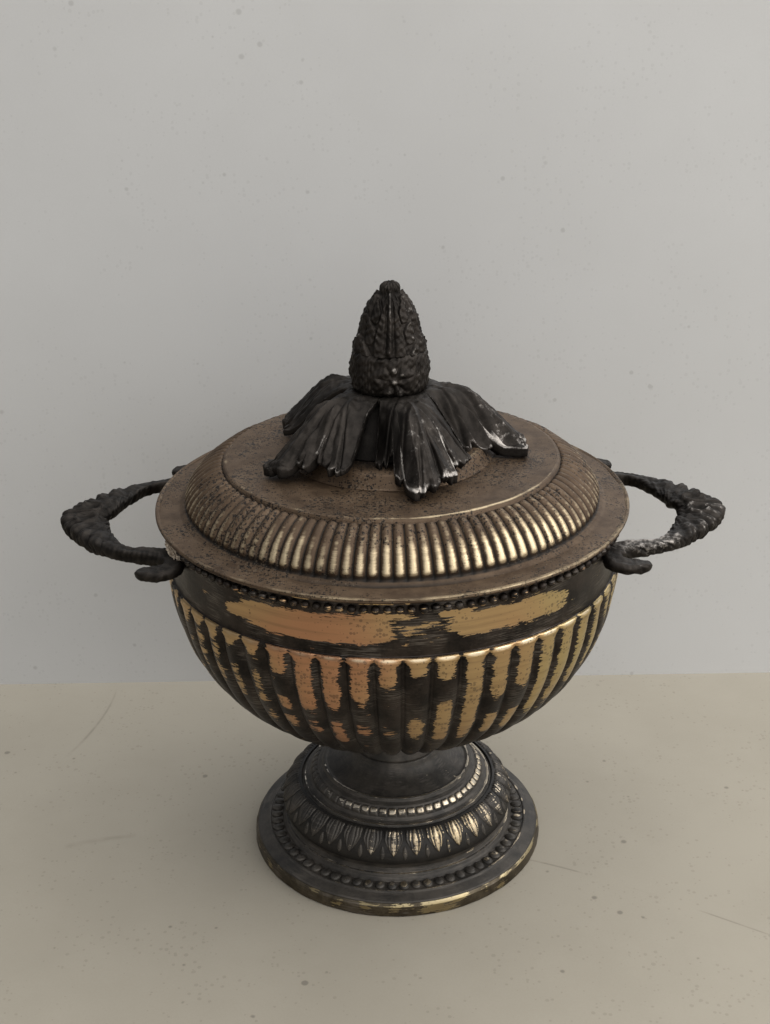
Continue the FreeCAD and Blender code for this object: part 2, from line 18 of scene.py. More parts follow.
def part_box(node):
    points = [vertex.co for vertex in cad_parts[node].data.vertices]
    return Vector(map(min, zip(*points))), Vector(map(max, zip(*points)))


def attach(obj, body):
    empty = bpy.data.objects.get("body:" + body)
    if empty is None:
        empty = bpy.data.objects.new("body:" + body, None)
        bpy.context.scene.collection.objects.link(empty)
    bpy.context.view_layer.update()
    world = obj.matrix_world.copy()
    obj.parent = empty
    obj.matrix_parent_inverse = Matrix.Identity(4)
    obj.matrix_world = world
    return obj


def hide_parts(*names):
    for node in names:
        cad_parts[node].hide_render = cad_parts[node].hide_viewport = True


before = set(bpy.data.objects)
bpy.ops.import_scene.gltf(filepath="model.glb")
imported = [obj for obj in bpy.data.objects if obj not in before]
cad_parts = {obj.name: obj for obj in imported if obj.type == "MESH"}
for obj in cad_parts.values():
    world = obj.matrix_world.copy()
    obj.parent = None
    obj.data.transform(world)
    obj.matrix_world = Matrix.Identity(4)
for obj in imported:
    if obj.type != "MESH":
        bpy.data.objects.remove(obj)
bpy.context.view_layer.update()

MM = 0.001
LOG = logging.getLogger("urn")
Corner = tuple[float, float, float]
Array = np.ndarray
Layers = dict[str, Array]
Relief = Callable[[Array, Array, Array], tuple[Array, Layers]]
Piece = bpy.types.Object
Material = bpy.types.Material
Node = bpy.types.Node
Tree = bpy.types.NodeTree
Socket = bpy.types.NodeSocket


class Body(Enum):
    """The two rigid bodies of the frame."""

    URN = "urn"
    LID = "lid"


# ---- geometry helpers


def smoothstep(low: float, high: float, value: Array) -> Array:
    """A soft step from 0 at low to 1 at high.

    Args:
        low: value where the step starts.
        high: value where the step is complete.
        value: numbers to map.

    Returns:
        The mapped numbers, 0 to 1.
    """
    share = np.clip((value - low) / (high - low), 0.0, 1.0)
    return share * share * (3.0 - 2.0 * share)


def bump(centre: float, half_width: float, value: Array) -> Array:
    """A soft hump: 1 at the centre and 0 a half width away.

    Args:
        centre: middle of the hump.
        half_width: distance at which it has faded out.
        value: numbers to map.

    Returns:
        The mapped numbers, 0 to 1.
    """
    return smoothstep(0.0, 1.0, 1.0 - np.abs(value - centre) / half_width)


def wrapped(degrees: Array) -> Array:
    """Angles brought into the range from -180 to 180 degrees."""
    return (degrees + 180.0) % 360.0 - 180.0


def ripples(x: Array, y: Array, wavelength: float, seed: int, waves: int = 14) -> Array:
    """Smooth irregular noise: a sum of plane waves with seeded directions.

    Args:
        x: first coordinate.
        y: second coordinate, of the same shape.
        wavelength: typical distance between humps, in the coordinates' unit.
        seed: seed of the directions and phases.
        waves: how many waves are added.

    Returns:
        Noise of about unit spread.
    """
    rng = np.random.default_rng(seed)
    total = np.zeros(np.broadcast(x, y).shape)
    for _ in range(waves):
        angle = rng.uniform(0.0, math.tau)
        pitch = math.tau / (wavelength * rng.uniform(0.6, 1.7))
        phase = rng.uniform(0.0, math.tau)
        total += np.sin(pitch * (math.cos(angle) * x + math.sin(angle) * y) + phase)
    return total / math.sqrt(waves / 2.0)


def densified(points: Array, step: float) -> Array:
    """Points with long straight stretches cut into steps.

    Args:
        points: an open line of points.
        step: longest distance that is left between two points.

    Returns:
        The denser line.
    """
    parts = []
    for start, end in zip(points, points[1:]):
        pieces = max(1, math.ceil(float(np.linalg.norm(end - start)) / step))
        shares = np.arange(pieces)[:, None] / pieces
        parts.append(start + (end - start) * shares)
    parts.append(points[-1:])
    return np.concatenate(parts)


def rounded(corners: Sequence[Corner], step: float = 1.0) -> Array:
    """A profile with rounded corners.

    Args:
        corners: radius, height and fillet radius of each corner.
        step: longest distance that is left between two points.

    Returns:
        Points of the open profile, one row each.
    """
    points = [np.array(corners[0][:2])]
    for before, here, after in zip(corners, corners[1:], corners[2:]):
        corner, fillet = np.array(here[:2]), here[2]
        back, ahead = np.array(before[:2]) - corner, np.array(after[:2]) - corner
        reach = [np.linalg.norm(back), np.linalg.norm(ahead)]
        back, ahead = back / reach[0], ahead / reach[1]
        half = math.acos(float(np.clip(back @ ahead, -1.0, 1.0))) / 2.0
        if fillet <= 0.0 or half > math.radians(88.0):
            points.append(corner)
            continue
        tangent = min(fillet / math.tan(half), 0.48 * min(reach))
        radius = tangent * math.tan(half)
        middle = back + ahead
        centre = corner + middle / np.linalg.norm(middle) * radius / math.sin(half)
        turn = math.pi - 2.0 * half
        count = max(3, math.ceil(turn / math.radians(18.0)))
        first = corner + back * tangent - centre
        side = corner + ahead * tangent - centre
        sign = math.copysign(1.0, first[0] * side[1] - first[1] * side[0])
        for k in range(count + 1):
            angle = sign * turn * k / count
            cos, sin = math.cos(angle), math.sin(angle)
            points.append(centre + np.array([cos * first[0] - sin * first[1],
                                             sin * first[0] + cos * first[1]]))
    points.append(np.array(corners[-1][:2]))
    return densified(np.array(points), step)


def through(points: Sequence[Sequence[float]], step: float) -> Array:
    """A smooth curve through a few points, in any number of coordinates.

    Args:
        points: the points that it passes through.
        step: distance between the points returned.

    Returns:
        Points along the curve.
    """
    knots = np.array(points, float)
    chords = np.linalg.norm(np.diff(knots[:, :2], axis=0), axis=1)
    at = np.concatenate([[0.0], np.cumsum(chords)])
    slopes = np.gradient(knots, at, axis=0)
    samples = np.linspace(0.0, at[-1], max(2, round(at[-1] / step)) + 1)
    index = np.clip(np.searchsorted(at, samples, side="right") - 1, 0, len(at) - 2)
    width = (at[index + 1] - at[index])[:, None]
    t = (samples - at[index])[:, None] / width
    start, end = knots[index], knots[index + 1]
    return ((2 * t**3 - 3 * t**2 + 1) * start + (t**3 - 2 * t**2 + t) * width * slopes[index]
            + (3 * t**2 - 2 * t**3) * end + (t**3 - t**2) * width * slopes[index + 1])


def joined(*runs: Array) -> Array:
    """Profile runs put end to end, with doubled points dropped."""
    line = np.concatenate(runs)
    gaps = np.linalg.norm(np.diff(line, axis=0), axis=1)
    return line[np.concatenate([[True], gaps > 1e-4])]


def profile_normals(profile: Array) -> Array:
    """Unit normals of an upward-going profile, pointing away from the axis."""
    along = np.gradient(profile, axis=0)
    normals = np.stack([along[:, 1], -along[:, 0]], axis=1)
    return normals / np.linalg.norm(normals, axis=1, keepdims=True)


def grid_object(name: str, points: Array, rows_closed: bool, columns_closed: bool,
                layers: dict[str, Array]) -> Piece:
    """A smooth mesh from a grid of points.

    Args:
        name: name of the piece.
        points: rows by columns by three, in millimetres.
        rows_closed: whether the last row joins the first.
        columns_closed: whether the last column joins the first.
        layers: named numbers for each grid point, kept as mesh attributes.

    Returns:
        The new object, at the frame's origin.
    """
    rows, columns = points.shape[:2]
    index = np.arange(rows * columns).reshape(rows, columns)
    if rows_closed:
        index = np.concatenate([index, index[:1]], axis=0)
    if columns_closed:
        index = np.concatenate([index, index[:, :1]], axis=1)
    quads = np.stack([index[:-1, :-1], index[:-1, 1:], index[1:, 1:], index[1:, :-1]], axis=-1)
    return raw_object(name, points.reshape(-1, 3), quads.reshape(-1, 4),
                      {key: value.reshape(-1) for key, value in layers.items()})


def raw_object(name: str, points: Array, quads: Array,
               layers: dict[str, Array]) -> Piece:
    """A smooth mesh from points and four-sided faces.

    Args:
        name: name of the piece.
        points: one row for each point, in millimetres.
        quads: four point numbers for each face.
        layers: named numbers for each point.

    Returns:
        The new object, at the frame's origin.
    """
    mesh = bpy.data.meshes.new(name)
    mesh.vertices.add(len(points))
    mesh.vertices.foreach_set("co", (points * MM).astype(np.float32).ravel())
    mesh.loops.add(quads.size)
    mesh.loops.foreach_set("vertex_index", quads.astype(np.int32).ravel())
    mesh.polygons.add(len(quads))
    mesh.polygons.foreach_set("loop_start", np.arange(0, quads.size, 4, dtype=np.int32))
    mesh.polygons.foreach_set("use_smooth", np.ones(len(quads), dtype=bool))
    mesh.update(calc_edges=True)
    for key, values in layers.items():
        attribute = mesh.attributes.new(key, "FLOAT", "POINT")
        attribute.data.foreach_set("value", np.asarray(values, np.float32).ravel())
    made = bpy.data.objects.new(name, mesh)
    bpy.context.scene.collection.objects.link(made)
    return made


def lathed(name: str, profile: Array, columns: int, closed: bool = True,
           relief: Optional[Relief] = None) -> Piece:
    """A turned piece, with an optional relief on its skin.

    Args:
        name: name of the piece.
        profile: radius and height of each row, going up the outside first.
        columns: number of steps round the axis.
        closed: whether the profile is a closed loop.
        relief: gives the distance that the skin moves outwards and the attribute layers, from
            row numbers, heights and azimuths.

    Returns:
        The new object.
    """
    azimuth = np.arange(columns) * 360.0 / columns
    rows = np.arange(len(profile))[:, None] + np.zeros((1, columns))
    heights = profile[:, 1:2] + np.zeros((1, columns))
    angles = azimuth[None, :] + np.zeros((len(profile), 1))
    moved, layers = np.zeros_like(heights), {}
    if relief is not None:
        moved, layers = relief(rows, heights, wrapped(angles))
    normals = profile_normals(profile)
    radius = profile[:, :1] + moved * normals[:, :1]
    level = profile[:, 1:] + moved * normals[:, 1:]
    turn = np.radians(angles)
    points = np.stack([radius * np.sin(turn), -radius * np.cos(turn), level], axis=-1)
    return grid_object(name, points, closed, True, layers)


def node_box(node: str) -> tuple[Array, Array]:
    """Lowest and highest corner of a CAD node, in millimetres."""
    low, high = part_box(node)
    return np.array(low) / MM, np.array(high) / MM


def dress(piece: Piece, finish: Material, slot: str, body: Body,
          *nodes: str) -> Piece:
    """Gives a piece its material and body, and hides the CAD nodes it stands for.

    Args:
        piece: the object.
        finish: its material.
        slot: not used.
        body: the body that it moves with.
        *nodes: CAD nodes that it replaces.

    Returns:
        The same object.
    """
    piece.data.materials.clear()
    piece.data.materials.append(finish)
    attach(piece, body.value)
    if nodes:
        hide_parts(*nodes)
    LOG.info("made %s on %s", piece.name, body.value)
    return piece


# ---- shader helpers


class Nodes:
    """Short ways to add and join shader nodes in one tree."""

    def __init__(self, tree: Tree) -> None:
        """Keeps the tree and empties it."""
        self.tree = tree
        tree.nodes.clear()

    def add(self, kind: str, inputs: Optional[dict] = None, **settings: object) -> Node:
        """Adds a node.

        Args:
            kind: Blender's node type.
            inputs: sockets, or plain values, for its named or numbered inputs.
            **settings: properties of the node.

        Returns:
            The node.
        """
        node = self.tree.nodes.new(kind)
        for key, value in settings.items():
            setattr(node, key, value)
        for key, value in (inputs or {}).items():
            if isinstance(value, Socket):
                self.tree.links.new(value, node.inputs[key])
            else:
                node.inputs[key].default_value = value
        return node

    def math(self, operation: str, first: object, second: object = 0.0,
             clamp: bool = False) -> Socket:
        """The result of a Math node."""
        return self.add("ShaderNodeMath", {0: first, 1: second}, operation=operation,
                        use_clamp=clamp).outputs[0]

    def times(self, first: object, second: object, clamp: bool = False) -> Socket:
        """The product of two values."""
        return self.math("MULTIPLY", first, second, clamp)

    def plus(self, first: object, second: object, clamp: bool = False) -> Socket:
        """The sum of two values."""
        return self.math("ADD", first, second, clamp)

    def minus(self, first: object, second: object, clamp: bool = False) -> Socket:
        """The first value less the second."""
        return self.math("SUBTRACT", first, second, clamp)

    def ramp(self, value: Socket, low: float, high: float,
             to_low: float = 0.0, to_high: float = 1.0) -> Socket:
        """A value mapped smoothly from one range to another.

        Args:
            value: the value.
            low: start of its range.
            high: end of its range.
            to_low: result at the start.
            to_high: result at the end.

        Returns:
            The mapped value.
        """
        node = self.add("ShaderNodeMapRange",
                        {"Value": value, "From Min": low, "From Max": high,
                         "To Min": to_low, "To Max": to_high},
                        interpolation_type="SMOOTHSTEP")
        return node.outputs["Result"]

    def blend(self, share: object, first: object, second: object) -> Socket:
        """A mix of two colours."""
        return self.add("ShaderNodeMix", {0: share, 6: first, 7: second},
                        data_type="RGBA").outputs[2]

    def noise(self, vector: Socket, scale: float, detail: float = 4.0,
              roughness: float = 0.55) -> Socket:
        """The height of a Noise texture."""
        node = self.add("ShaderNodeTexNoise", {"Vector": vector, "Scale": scale,
                                               "Detail": detail, "Roughness": roughness})
        return node.outputs["Fac"]

    def feed(self, source: Socket, node: Node, socket: object) -> None:
        """Joins a socket to a node's named or numbered input."""
        self.tree.links.new(source, node.inputs[socket])

    def place(self) -> Socket:
        """The position in the object's own axes, in metres."""
        return self.add("ShaderNodeTexCoord").outputs["Object"]

    def attribute(self, name: str) -> Socket:
        """A number stored on the mesh."""
        return self.add("ShaderNodeAttribute", attribute_name=name).outputs["Fac"]

    def group(self, tree: Tree, inputs: Optional[dict] = None) -> Node:
        """A shared effect placed in this tree."""
        return self.add("ShaderNodeGroup", inputs, node_tree=tree)

    def stretched(self, vector: Socket, scale: Sequence[float]) -> Socket:
        """A vector multiplied axis by axis."""
        node = self.add("ShaderNodeVectorMath", {0: vector, 1: tuple(scale)}, operation="MULTIPLY")
        return node.outputs[0]


def new_group(name: str, inputs: Sequence[tuple[str, str, object]],
              outputs: Sequence[tuple[str, str]]) -> tuple[Nodes, Node, Node]:
    """An empty shader node group with its sockets.

    Args:
        name: name of the group.
        inputs: name, socket type and default of each input.
        outputs: name and socket type of each output.

    Returns:
        The node helper, the input node and the output node.
    """
    tree = bpy.data.node_groups.new(name, "ShaderNodeTree")
    for label, kind, default in inputs:
        socket = tree.interface.new_socket(label, in_out="INPUT", socket_type=kind)
        socket.default_value = default
    for label, kind in outputs:
        tree.interface.new_socket(label, in_out="OUTPUT", socket_type=kind)
    nodes = Nodes(tree)
    return nodes, nodes.add("NodeGroupInput"), nodes.add("NodeGroupOutput")


FLOAT = "NodeSocketFloat"
COLOR = "NodeSocketColor"
VECTOR = "NodeSocketVector"


class Effects:
    """Shader node groups that several finishes share, each built once."""

    def __init__(self) -> None:
        """Builds every group."""
        self.round_coords = self._round_coords()
        self.tone = self._tone()
        self.ragged = self._ragged()
        self.speckle = self._speckle()
        self.dust = self._dust()

    def specks(self, n: Nodes, scale: float, size: float) -> Socket:
        """The mask of the speckle group, placed in a material."""
        return n.group(self.speckle, {"Scale": scale, "Size": size}).outputs["Mask"]

    def veil(self, n: Nodes, amount: float) -> Socket:
        """The mask of the dust group, placed in a material."""
        return n.group(self.dust, {"Amount": amount}).outputs["Mask"]

    @staticmethod
    def _round_coords() -> Tree:
        """Coordinates that wrap round the axis: arc length, height and radius in metres.

        Returns:
            The group.
        """
        n, start, end = new_group("RoundCoords", [("Mean Radius", FLOAT, 0.1)],
                                  [("Vector", VECTOR)])
        place = n.place()
        split = n.add("ShaderNodeSeparateXYZ", {0: place})
        turn = n.math("ARCTAN2", split.outputs[0], n.times(split.outputs[1], -1.0))
        arc = n.times(turn, start.outputs["Mean Radius"])
        flat = n.add("ShaderNodeVectorMath", {0: place, 1: (1.0, 1.0, 0.0)}, operation="MULTIPLY")
        radius = n.add("ShaderNodeVectorMath", {0: flat.outputs[0]}, operation="LENGTH")
        joined_up = n.add("ShaderNodeCombineXYZ", {0: arc, 1: split.outputs[2],
                                                   2: radius.outputs["Value"]})
        n.feed(joined_up.outputs[0], end, "Vector")
        return n.tree

    @staticmethod
    def _tone() -> Tree:
        """Cloudy change between two colours, with a grain for height and roughness.

        Returns:
            The group.
        """
        n, start, end = new_group(
            "CloudyTone",
            [("Dark", COLOR, (0.02, 0.02, 0.02, 1)), ("Light", COLOR, (0.1, 0.1, 0.1, 1)),
             ("Scale", FLOAT, 60.0)],
            [("Color", COLOR), ("Grain", FLOAT), ("Cloud", FLOAT)])
        place = n.place()
        cloud = n.add("ShaderNodeTexNoise", {"Vector": place, "Scale": start.outputs["Scale"],
                                             "Detail": 6.0, "Roughness": 0.62})
        grain = n.noise(place, 900.0, 5.0, 0.7)
        even = n.plus(n.times(cloud.outputs["Fac"], 0.72), n.times(grain, 0.28))
        share = n.ramp(even, 0.36, 0.64)
        n.feed(n.blend(share, start.outputs["Dark"], start.outputs["Light"]), end, "Color")
        n.feed(grain, end, "Grain")
        n.feed(cloud.outputs["Fac"], end, "Cloud")
        return n.tree

    @staticmethod
    def _ragged() -> Tree:
        """Turns a soft field into a mask with edges torn along one direction.

        Returns:
            The group.
        """
        n, start, end = new_group(
            "RaggedMask",
            [("Field", FLOAT, 0.0), ("Vector", VECTOR, (0, 0, 0)),
             ("Tear", FLOAT, 0.35), ("Softness", FLOAT, 0.03)],
            [("Mask", FLOAT)])
        vector = start.outputs["Vector"]
        fine = n.noise(n.stretched(vector, (170.0, 1500.0, 60.0)), 1.0, 3.0, 0.6)
        coarse = n.noise(n.stretched(vector, (70.0, 420.0, 60.0)), 1.0, 4.0, 0.6)
        blot = n.noise(vector, 150.0, 5.0, 0.65)
        total = n.plus(n.times(n.ramp(fine, 0.3, 0.7), 0.40),
                       n.plus(n.times(n.ramp(coarse, 0.3, 0.7), 0.30),
                              n.times(n.ramp(blot, 0.3, 0.7), 0.30)))
        shift = n.times(n.minus(total, 0.5), start.outputs["Tear"])
        edge = n.minus(n.plus(start.outputs["Field"], shift), 0.5)
        mask = n.plus(n.math("DIVIDE", edge, start.outputs["Softness"]), 0.5, clamp=True)
        n.feed(mask, end, "Mask")
        return n.tree

    @staticmethod
    def _speckle() -> Tree:
        """Small scattered spots of uneven size.

        Returns:
            The group.
        """
        n, start, end = new_group("Speckle", [("Scale", FLOAT, 400.0), ("Size", FLOAT, 0.2)],
                                  [("Mask", FLOAT)])
        place = n.place()
        cells = n.add("ShaderNodeTexVoronoi", {"Vector": place, "Scale": start.outputs["Scale"],
                                               "Randomness": 1.0})
        patchy = n.ramp(n.noise(place, 28.0, 5.0, 0.65), 0.34, 0.60)
        pick = n.add("ShaderNodeSeparateColor", {0: cells.outputs["Color"]})
        size = n.times(n.times(pick.outputs[0], pick.outputs[0]),
                       n.times(start.outputs["Size"], patchy))
        near = n.minus(size, cells.outputs["Distance"])
        n.feed(n.times(near, 14.0, clamp=True), end, "Mask")
        return n.tree

    @staticmethod
    def _dust() -> Tree:
        """Dust that settles on what faces up, in uneven patches.

        Returns:
            The group.
        """
        n, start, end = new_group("Dust", [("Amount", FLOAT, 0.5)], [("Mask", FLOAT)])
        normal = n.add("ShaderNodeNewGeometry").outputs["Normal"]
        up = n.add("ShaderNodeSeparateXYZ", {0: normal}).outputs[2]
        patchy = n.ramp(n.noise(n.place(), 120.0, 6.0, 0.7), 0.3, 0.7)
        share = n.times(n.ramp(up, 0.1, 0.95), n.times(patchy, start.outputs["Amount"]))
        n.feed(share, end, "Mask")
        return n.tree


def material(name: str) -> tuple[Material, Nodes, Node]:
    """An empty material with a Principled shader.

    Args:
        name: name of the material.

    Returns:
        The material, its node helper and its Principled BSDF.
    """
    made = bpy.data.materials.new(name)
    made.use_nodes = True
    nodes = Nodes(made.node_tree)
    shader = nodes.add("ShaderNodeBsdfPrincipled")
    output = nodes.add("ShaderNodeOutputMaterial")
    nodes.feed(shader.outputs[0], output, 0)
    return made, nodes, shader


def add_bump(nodes: Nodes, shader: Node, height: Socket,
             distance_mm: float, strength: float = 1.0) -> None:
    """Feeds a height into a shader's normal."""
    made = nodes.add("ShaderNodeBump", {"Height": height, "Distance": distance_mm * MM,
                                        "Strength": strength})
    nodes.feed(made.outputs[0], shader, "Normal")


Rgb = tuple[float, float, float, float]


@dataclass(frozen=True)
class WornPatina:
    """Black-brown patina that is worn through to brass.

    The meshes carry three numbers: one for where the metal shows, which is wear and also
    painted highlight; crest (how far a point stands out, which darkens the hollows with patina
    and painted shade and gives the highest crests a painted highlight); and tint (which of the
    brass colours it has).
    """

    name: str = "worn_patina"
    dark: Rgb = (0.010, 0.0078, 0.0062, 1)
    light: Rgb = (0.040, 0.030, 0.0235, 1)
    scratch: Rgb = (0.19, 0.165, 0.14, 1)
    # darkest patina in the hollows, deepened with painted shade
    hollow_patina_and_shade: Rgb = (0.006, 0.005, 0.0042, 1)
    brass_tan: Rgb = (0.55, 0.38, 0.195, 1)
    brass_rose: Rgb = (0.56, 0.295, 0.165, 1)
    brass_green: Rgb = (0.57, 0.46, 0.225, 1)
    # paler brass for the highest crests: a painted highlight
    highlight_brass: Rgb = (0.80, 0.66, 0.45, 1)
    tarnish: Rgb = (0.22, 0.145, 0.08, 1)
    mean_radius: float = 0.1
    tear: float = 1.15
    scratches: float = 0.55
    patina_rough: float = 0.44
    patina_metal: float = 0.75

    def build(self, effects: Effects) -> Material:
        """Mixes scratched patina and streaked brass by the layer of wear and painted highlight.

        Args:
            effects: the shared shader groups.

        Returns:
            The material.
        """
        made, n, shader = material(self.name)
        vector = n.group(effects.round_coords,
                         {"Mean Radius": self.mean_radius}).outputs["Vector"]
        tone = n.group(effects.tone, {"Dark": self.dark, "Light": self.light, "Scale": 85.0})
        # the metal shows through wear, and also where highlights are painted
        wear_and_highlight = n.group(effects.ragged, {"Field": n.attribute("wear_and_highlight"), "Vector": vector,
                                        "Tear": self.tear, "Softness": 0.05}).outputs["Mask"]
        spots = effects.specks(n, 750.0, 0.75)
        wear_and_highlight = n.times(wear_and_highlight, n.minus(1.0, n.times(spots, 0.45)))
        tint = n.attribute("tint")
        rose = n.blend(n.ramp(tint, 0.0, 0.5), self.brass_rose, self.brass_tan)
        brass = n.blend(n.ramp(tint, 0.5, 1.0), rose, self.brass_green)
        streak = n.noise(n.stretched(vector, (18.0, 420.0, 10.0)), 1.0, 4.0, 0.6)
        brass = n.blend(n.ramp(streak, 0.42, 0.75, 0.0, 0.45), brass, self.tarnish)
        # where the crest is above about 1 the brass turns paler: a painted highlight
        edge = n.ramp(n.attribute("crest"), 1.02, 1.3)
        brass = n.blend(edge, brass, self.highlight_brass)
        lines = n.noise(n.stretched(vector, (90.0, 2200.0, 30.0)), 1.0, 3.0, 0.65)
        patches = n.ramp(n.noise(vector, 60.0, 4.0, 0.6), 0.42, 0.62)
        scratch = n.times(n.ramp(lines, 0.46, 0.60, 0.0, self.scratches), patches)
        patina = n.blend(scratch, tone.outputs["Color"], self.scratch)
        # points with a low crest take the hollow colour: darker patina and painted shade
        patina = n.blend(n.ramp(n.attribute("crest"), 0.0, 0.5, 0.75, 0.0), patina, self.hollow_patina_and_shade)
        n.feed(n.blend(wear_and_highlight, patina, brass), shader, "Base Color")
        n.feed(n.ramp(wear_and_highlight, 0.0, 1.0, self.patina_metal, 1.0), shader, "Metallic")
        rough = n.plus(n.ramp(wear_and_highlight, 0.0, 1.0, self.patina_rough, 0.36),
                       n.times(n.minus(tone.outputs["Grain"], 0.5), 0.3))
        n.feed(rough, shader, "Roughness")
        height = n.plus(n.times(wear_and_highlight, -0.25),
                        n.plus(n.times(tone.outputs["Grain"], 0.5),
                               n.times(tone.outputs["Cloud"], 0.5)))
        add_bump(n, shader, height, 0.16, 0.8)
        return made


@dataclass(frozen=True)
class DustyBronze:
    """Taupe bronze under a veil of dust, with dark specks, painted shade in its grooves, and pale
    crests that are worn and painted highlight.
    """

    name: str = "dusty_bronze"
    dark: Rgb = (0.050, 0.0295, 0.0160, 1)
    light: Rgb = (0.104, 0.066, 0.038, 1)
    # painted shade in the grooves, the cove and under the leaves
    groove: Rgb = (0.010, 0.007, 0.0045, 1)
    # pale worn bronze, also used for painted highlights
    gold: Rgb = (0.66, 0.53, 0.34, 1)
    speck: Rgb = (0.009, 0.006, 0.004, 1)
    grit: Rgb = (0.15, 0.115, 0.08, 1)
    dust: Rgb = (0.150, 0.098, 0.056, 1)

    def build(self, effects: Effects) -> Material:
        """Lays painted shade, wear with painted highlights, dust, specks and grit over cloudy
        bronze.

        Args:
            effects: the shared shader groups.

        Returns:
            The material.
        """
        made, n, shader = material(self.name)
        tone = n.group(effects.tone, {"Dark": self.dark, "Light": self.light, "Scale": 55.0})
        crest = n.attribute("crest")
        # a low crest gives painted shade
        sink = n.ramp(crest, 0.14, 0.56)
        body = n.blend(sink, self.groove, tone.outputs["Color"])
        vector = n.group(effects.round_coords, {"Mean Radius": 0.09}).outputs["Vector"]
        wear_and_highlight = n.group(effects.ragged, {"Field": n.attribute("wear_and_highlight"), "Vector": vector,
                                        "Tear": 0.4, "Softness": 0.45}).outputs["Mask"]
        # pale for wear and for painted highlights
        body = n.blend(wear_and_highlight, body, self.gold)
        veil = effects.veil(n, 0.42)
        veil = n.times(veil, n.minus(1.0, wear_and_highlight))
        body = n.blend(n.times(veil, sink), body, self.dust)
        small = effects.specks(n, 1150.0, 0.95)
        large = effects.specks(n, 430.0, 0.5)
        spots = n.math("MAXIMUM", small, large)
        spots = n.times(spots, n.ramp(wear_and_highlight, 0.0, 0.8, 0.95, 0.2))
        body = n.blend(spots, body, self.speck)
        pale = effects.specks(n, 1300.0, 0.7)
        body = n.blend(n.times(pale, 0.5), body, self.grit)
        n.feed(body, shader, "Base Color")
        metal = n.minus(n.ramp(wear_and_highlight, 0.0, 1.0, 0.62, 0.95), n.times(veil, 0.4), clamp=True)
        n.feed(metal, shader, "Metallic")
        rough = n.plus(n.ramp(wear_and_highlight, 0.0, 1.0, 0.50, 0.36), n.times(tone.outputs["Grain"], 0.14))
        n.feed(rough, shader, "Roughness")
        height = n.plus(n.times(tone.outputs["Grain"], 0.7), n.times(spots, 0.8))
        add_bump(n, shader, height, 0.12, 0.7)
        return made


@dataclass(frozen=True)
class CastBronze:
    """Rough cast bronze: darker patina and painted shade in its hollows, pale where its edges are
    rubbed and where highlights are painted.
    """

    name: str = "cast_bronze"
    dark: Rgb = (0.014, 0.0115, 0.0095, 1)
    light: Rgb = (0.042, 0.035, 0.0295, 1)
    # pale rubbed metal, also used for painted highlights
    rub_and_highlight: Rgb = (0.34, 0.31, 0.28, 1)
    dust: Rgb = (0.052, 0.043, 0.035, 1)
    # darker patina in the hollows, deepened with painted shade
    hollow_patina_and_shade: Rgb = (0.005, 0.0042, 0.0035, 1)

    def build(self, effects: Effects) -> Material:
        """Darkens the hollows with patina and painted shade, dusts the tops, and makes the edges
        pale for wear and for painted highlights.

        Args:
            effects: the shared shader groups.

        Returns:
            The material.
        """
        made, n, shader = material(self.name)
        tone = n.group(effects.tone, {"Dark": self.dark, "Light": self.light, "Scale": 110.0})
        crest = n.attribute("crest")
        # a low crest gives darker patina and painted shade
        body = n.blend(n.ramp(crest, 0.0, 0.5, 0.80, 0.0), tone.outputs["Color"], self.hollow_patina_and_shade)
        veil = effects.veil(n, 0.35)
        body = n.blend(veil, body, self.dust)
        chips = n.noise(n.place(), 420.0, 4.0, 0.7)
        field_value = n.plus(n.attribute("wear_and_highlight"), n.times(n.minus(chips, 0.5), 0.9))
        # pale for wear and for painted highlights
        rub_and_highlight = n.ramp(field_value, 0.45, 0.75)
        body = n.blend(rub_and_highlight, body, self.rub_and_highlight)
        n.feed(body, shader, "Base Color")
        metal = n.minus(n.ramp(rub_and_highlight, 0.0, 1.0, 0.86, 0.95), n.times(veil, 0.3), clamp=True)
        n.feed(metal, shader, "Metallic")
        rough = n.plus(n.ramp(rub_and_highlight, 0.0, 1.0, 0.48, 0.34), n.times(tone.outputs["Grain"], 0.16))
        n.feed(rough, shader, "Roughness")
        height = n.plus(n.times(tone.outputs["Grain"], 0.6), n.times(tone.outputs["Cloud"], 0.8))
        add_bump(n, shader, height, 0.22, 0.8)
        return made


@dataclass(frozen=True)
class PlainMetal:
    """Unpolished turned metal with fine marks round the axis."""

    name: str = "plain_metal"
    dark: Rgb = (0.20, 0.14, 0.07, 1)
    light: Rgb = (0.42, 0.31, 0.16, 1)
    spot: Rgb = (0.05, 0.035, 0.02, 1)
    roughness: float = 0.42

    def build(self, effects: Effects) -> Material:
        """Draws fine marks round the axis over cloudy metal.

        Args:
            effects: the shared shader groups.

        Returns:
            The material.
        """
        made, n, shader = material(self.name)
        tone = n.group(effects.tone, {"Dark": self.dark, "Light": self.light, "Scale": 45.0})
        vector = n.group(effects.round_coords, {"Mean Radius": 0.08}).outputs["Vector"]
        marks = n.noise(n.stretched(vector, (6.0, 1400.0, 1400.0)), 1.0, 3.0, 0.6)
        spots = effects.specks(n, 300.0, 0.4)
        body = n.blend(n.times(spots, 0.6), tone.outputs["Color"], self.spot)
        n.feed(body, shader, "Base Color")
        shader.inputs["Metallic"].default_value = 0.7
        uneven = n.plus(n.times(marks, 0.5), n.times(tone.outputs["Grain"], 0.5))
        rough = n.ramp(uneven, 0.2, 0.8, self.roughness - 0.1, self.roughness + 0.15)
        n.feed(rough, shader, "Roughness")
        add_bump(n, shader, marks, 0.05, 0.6)
        return made


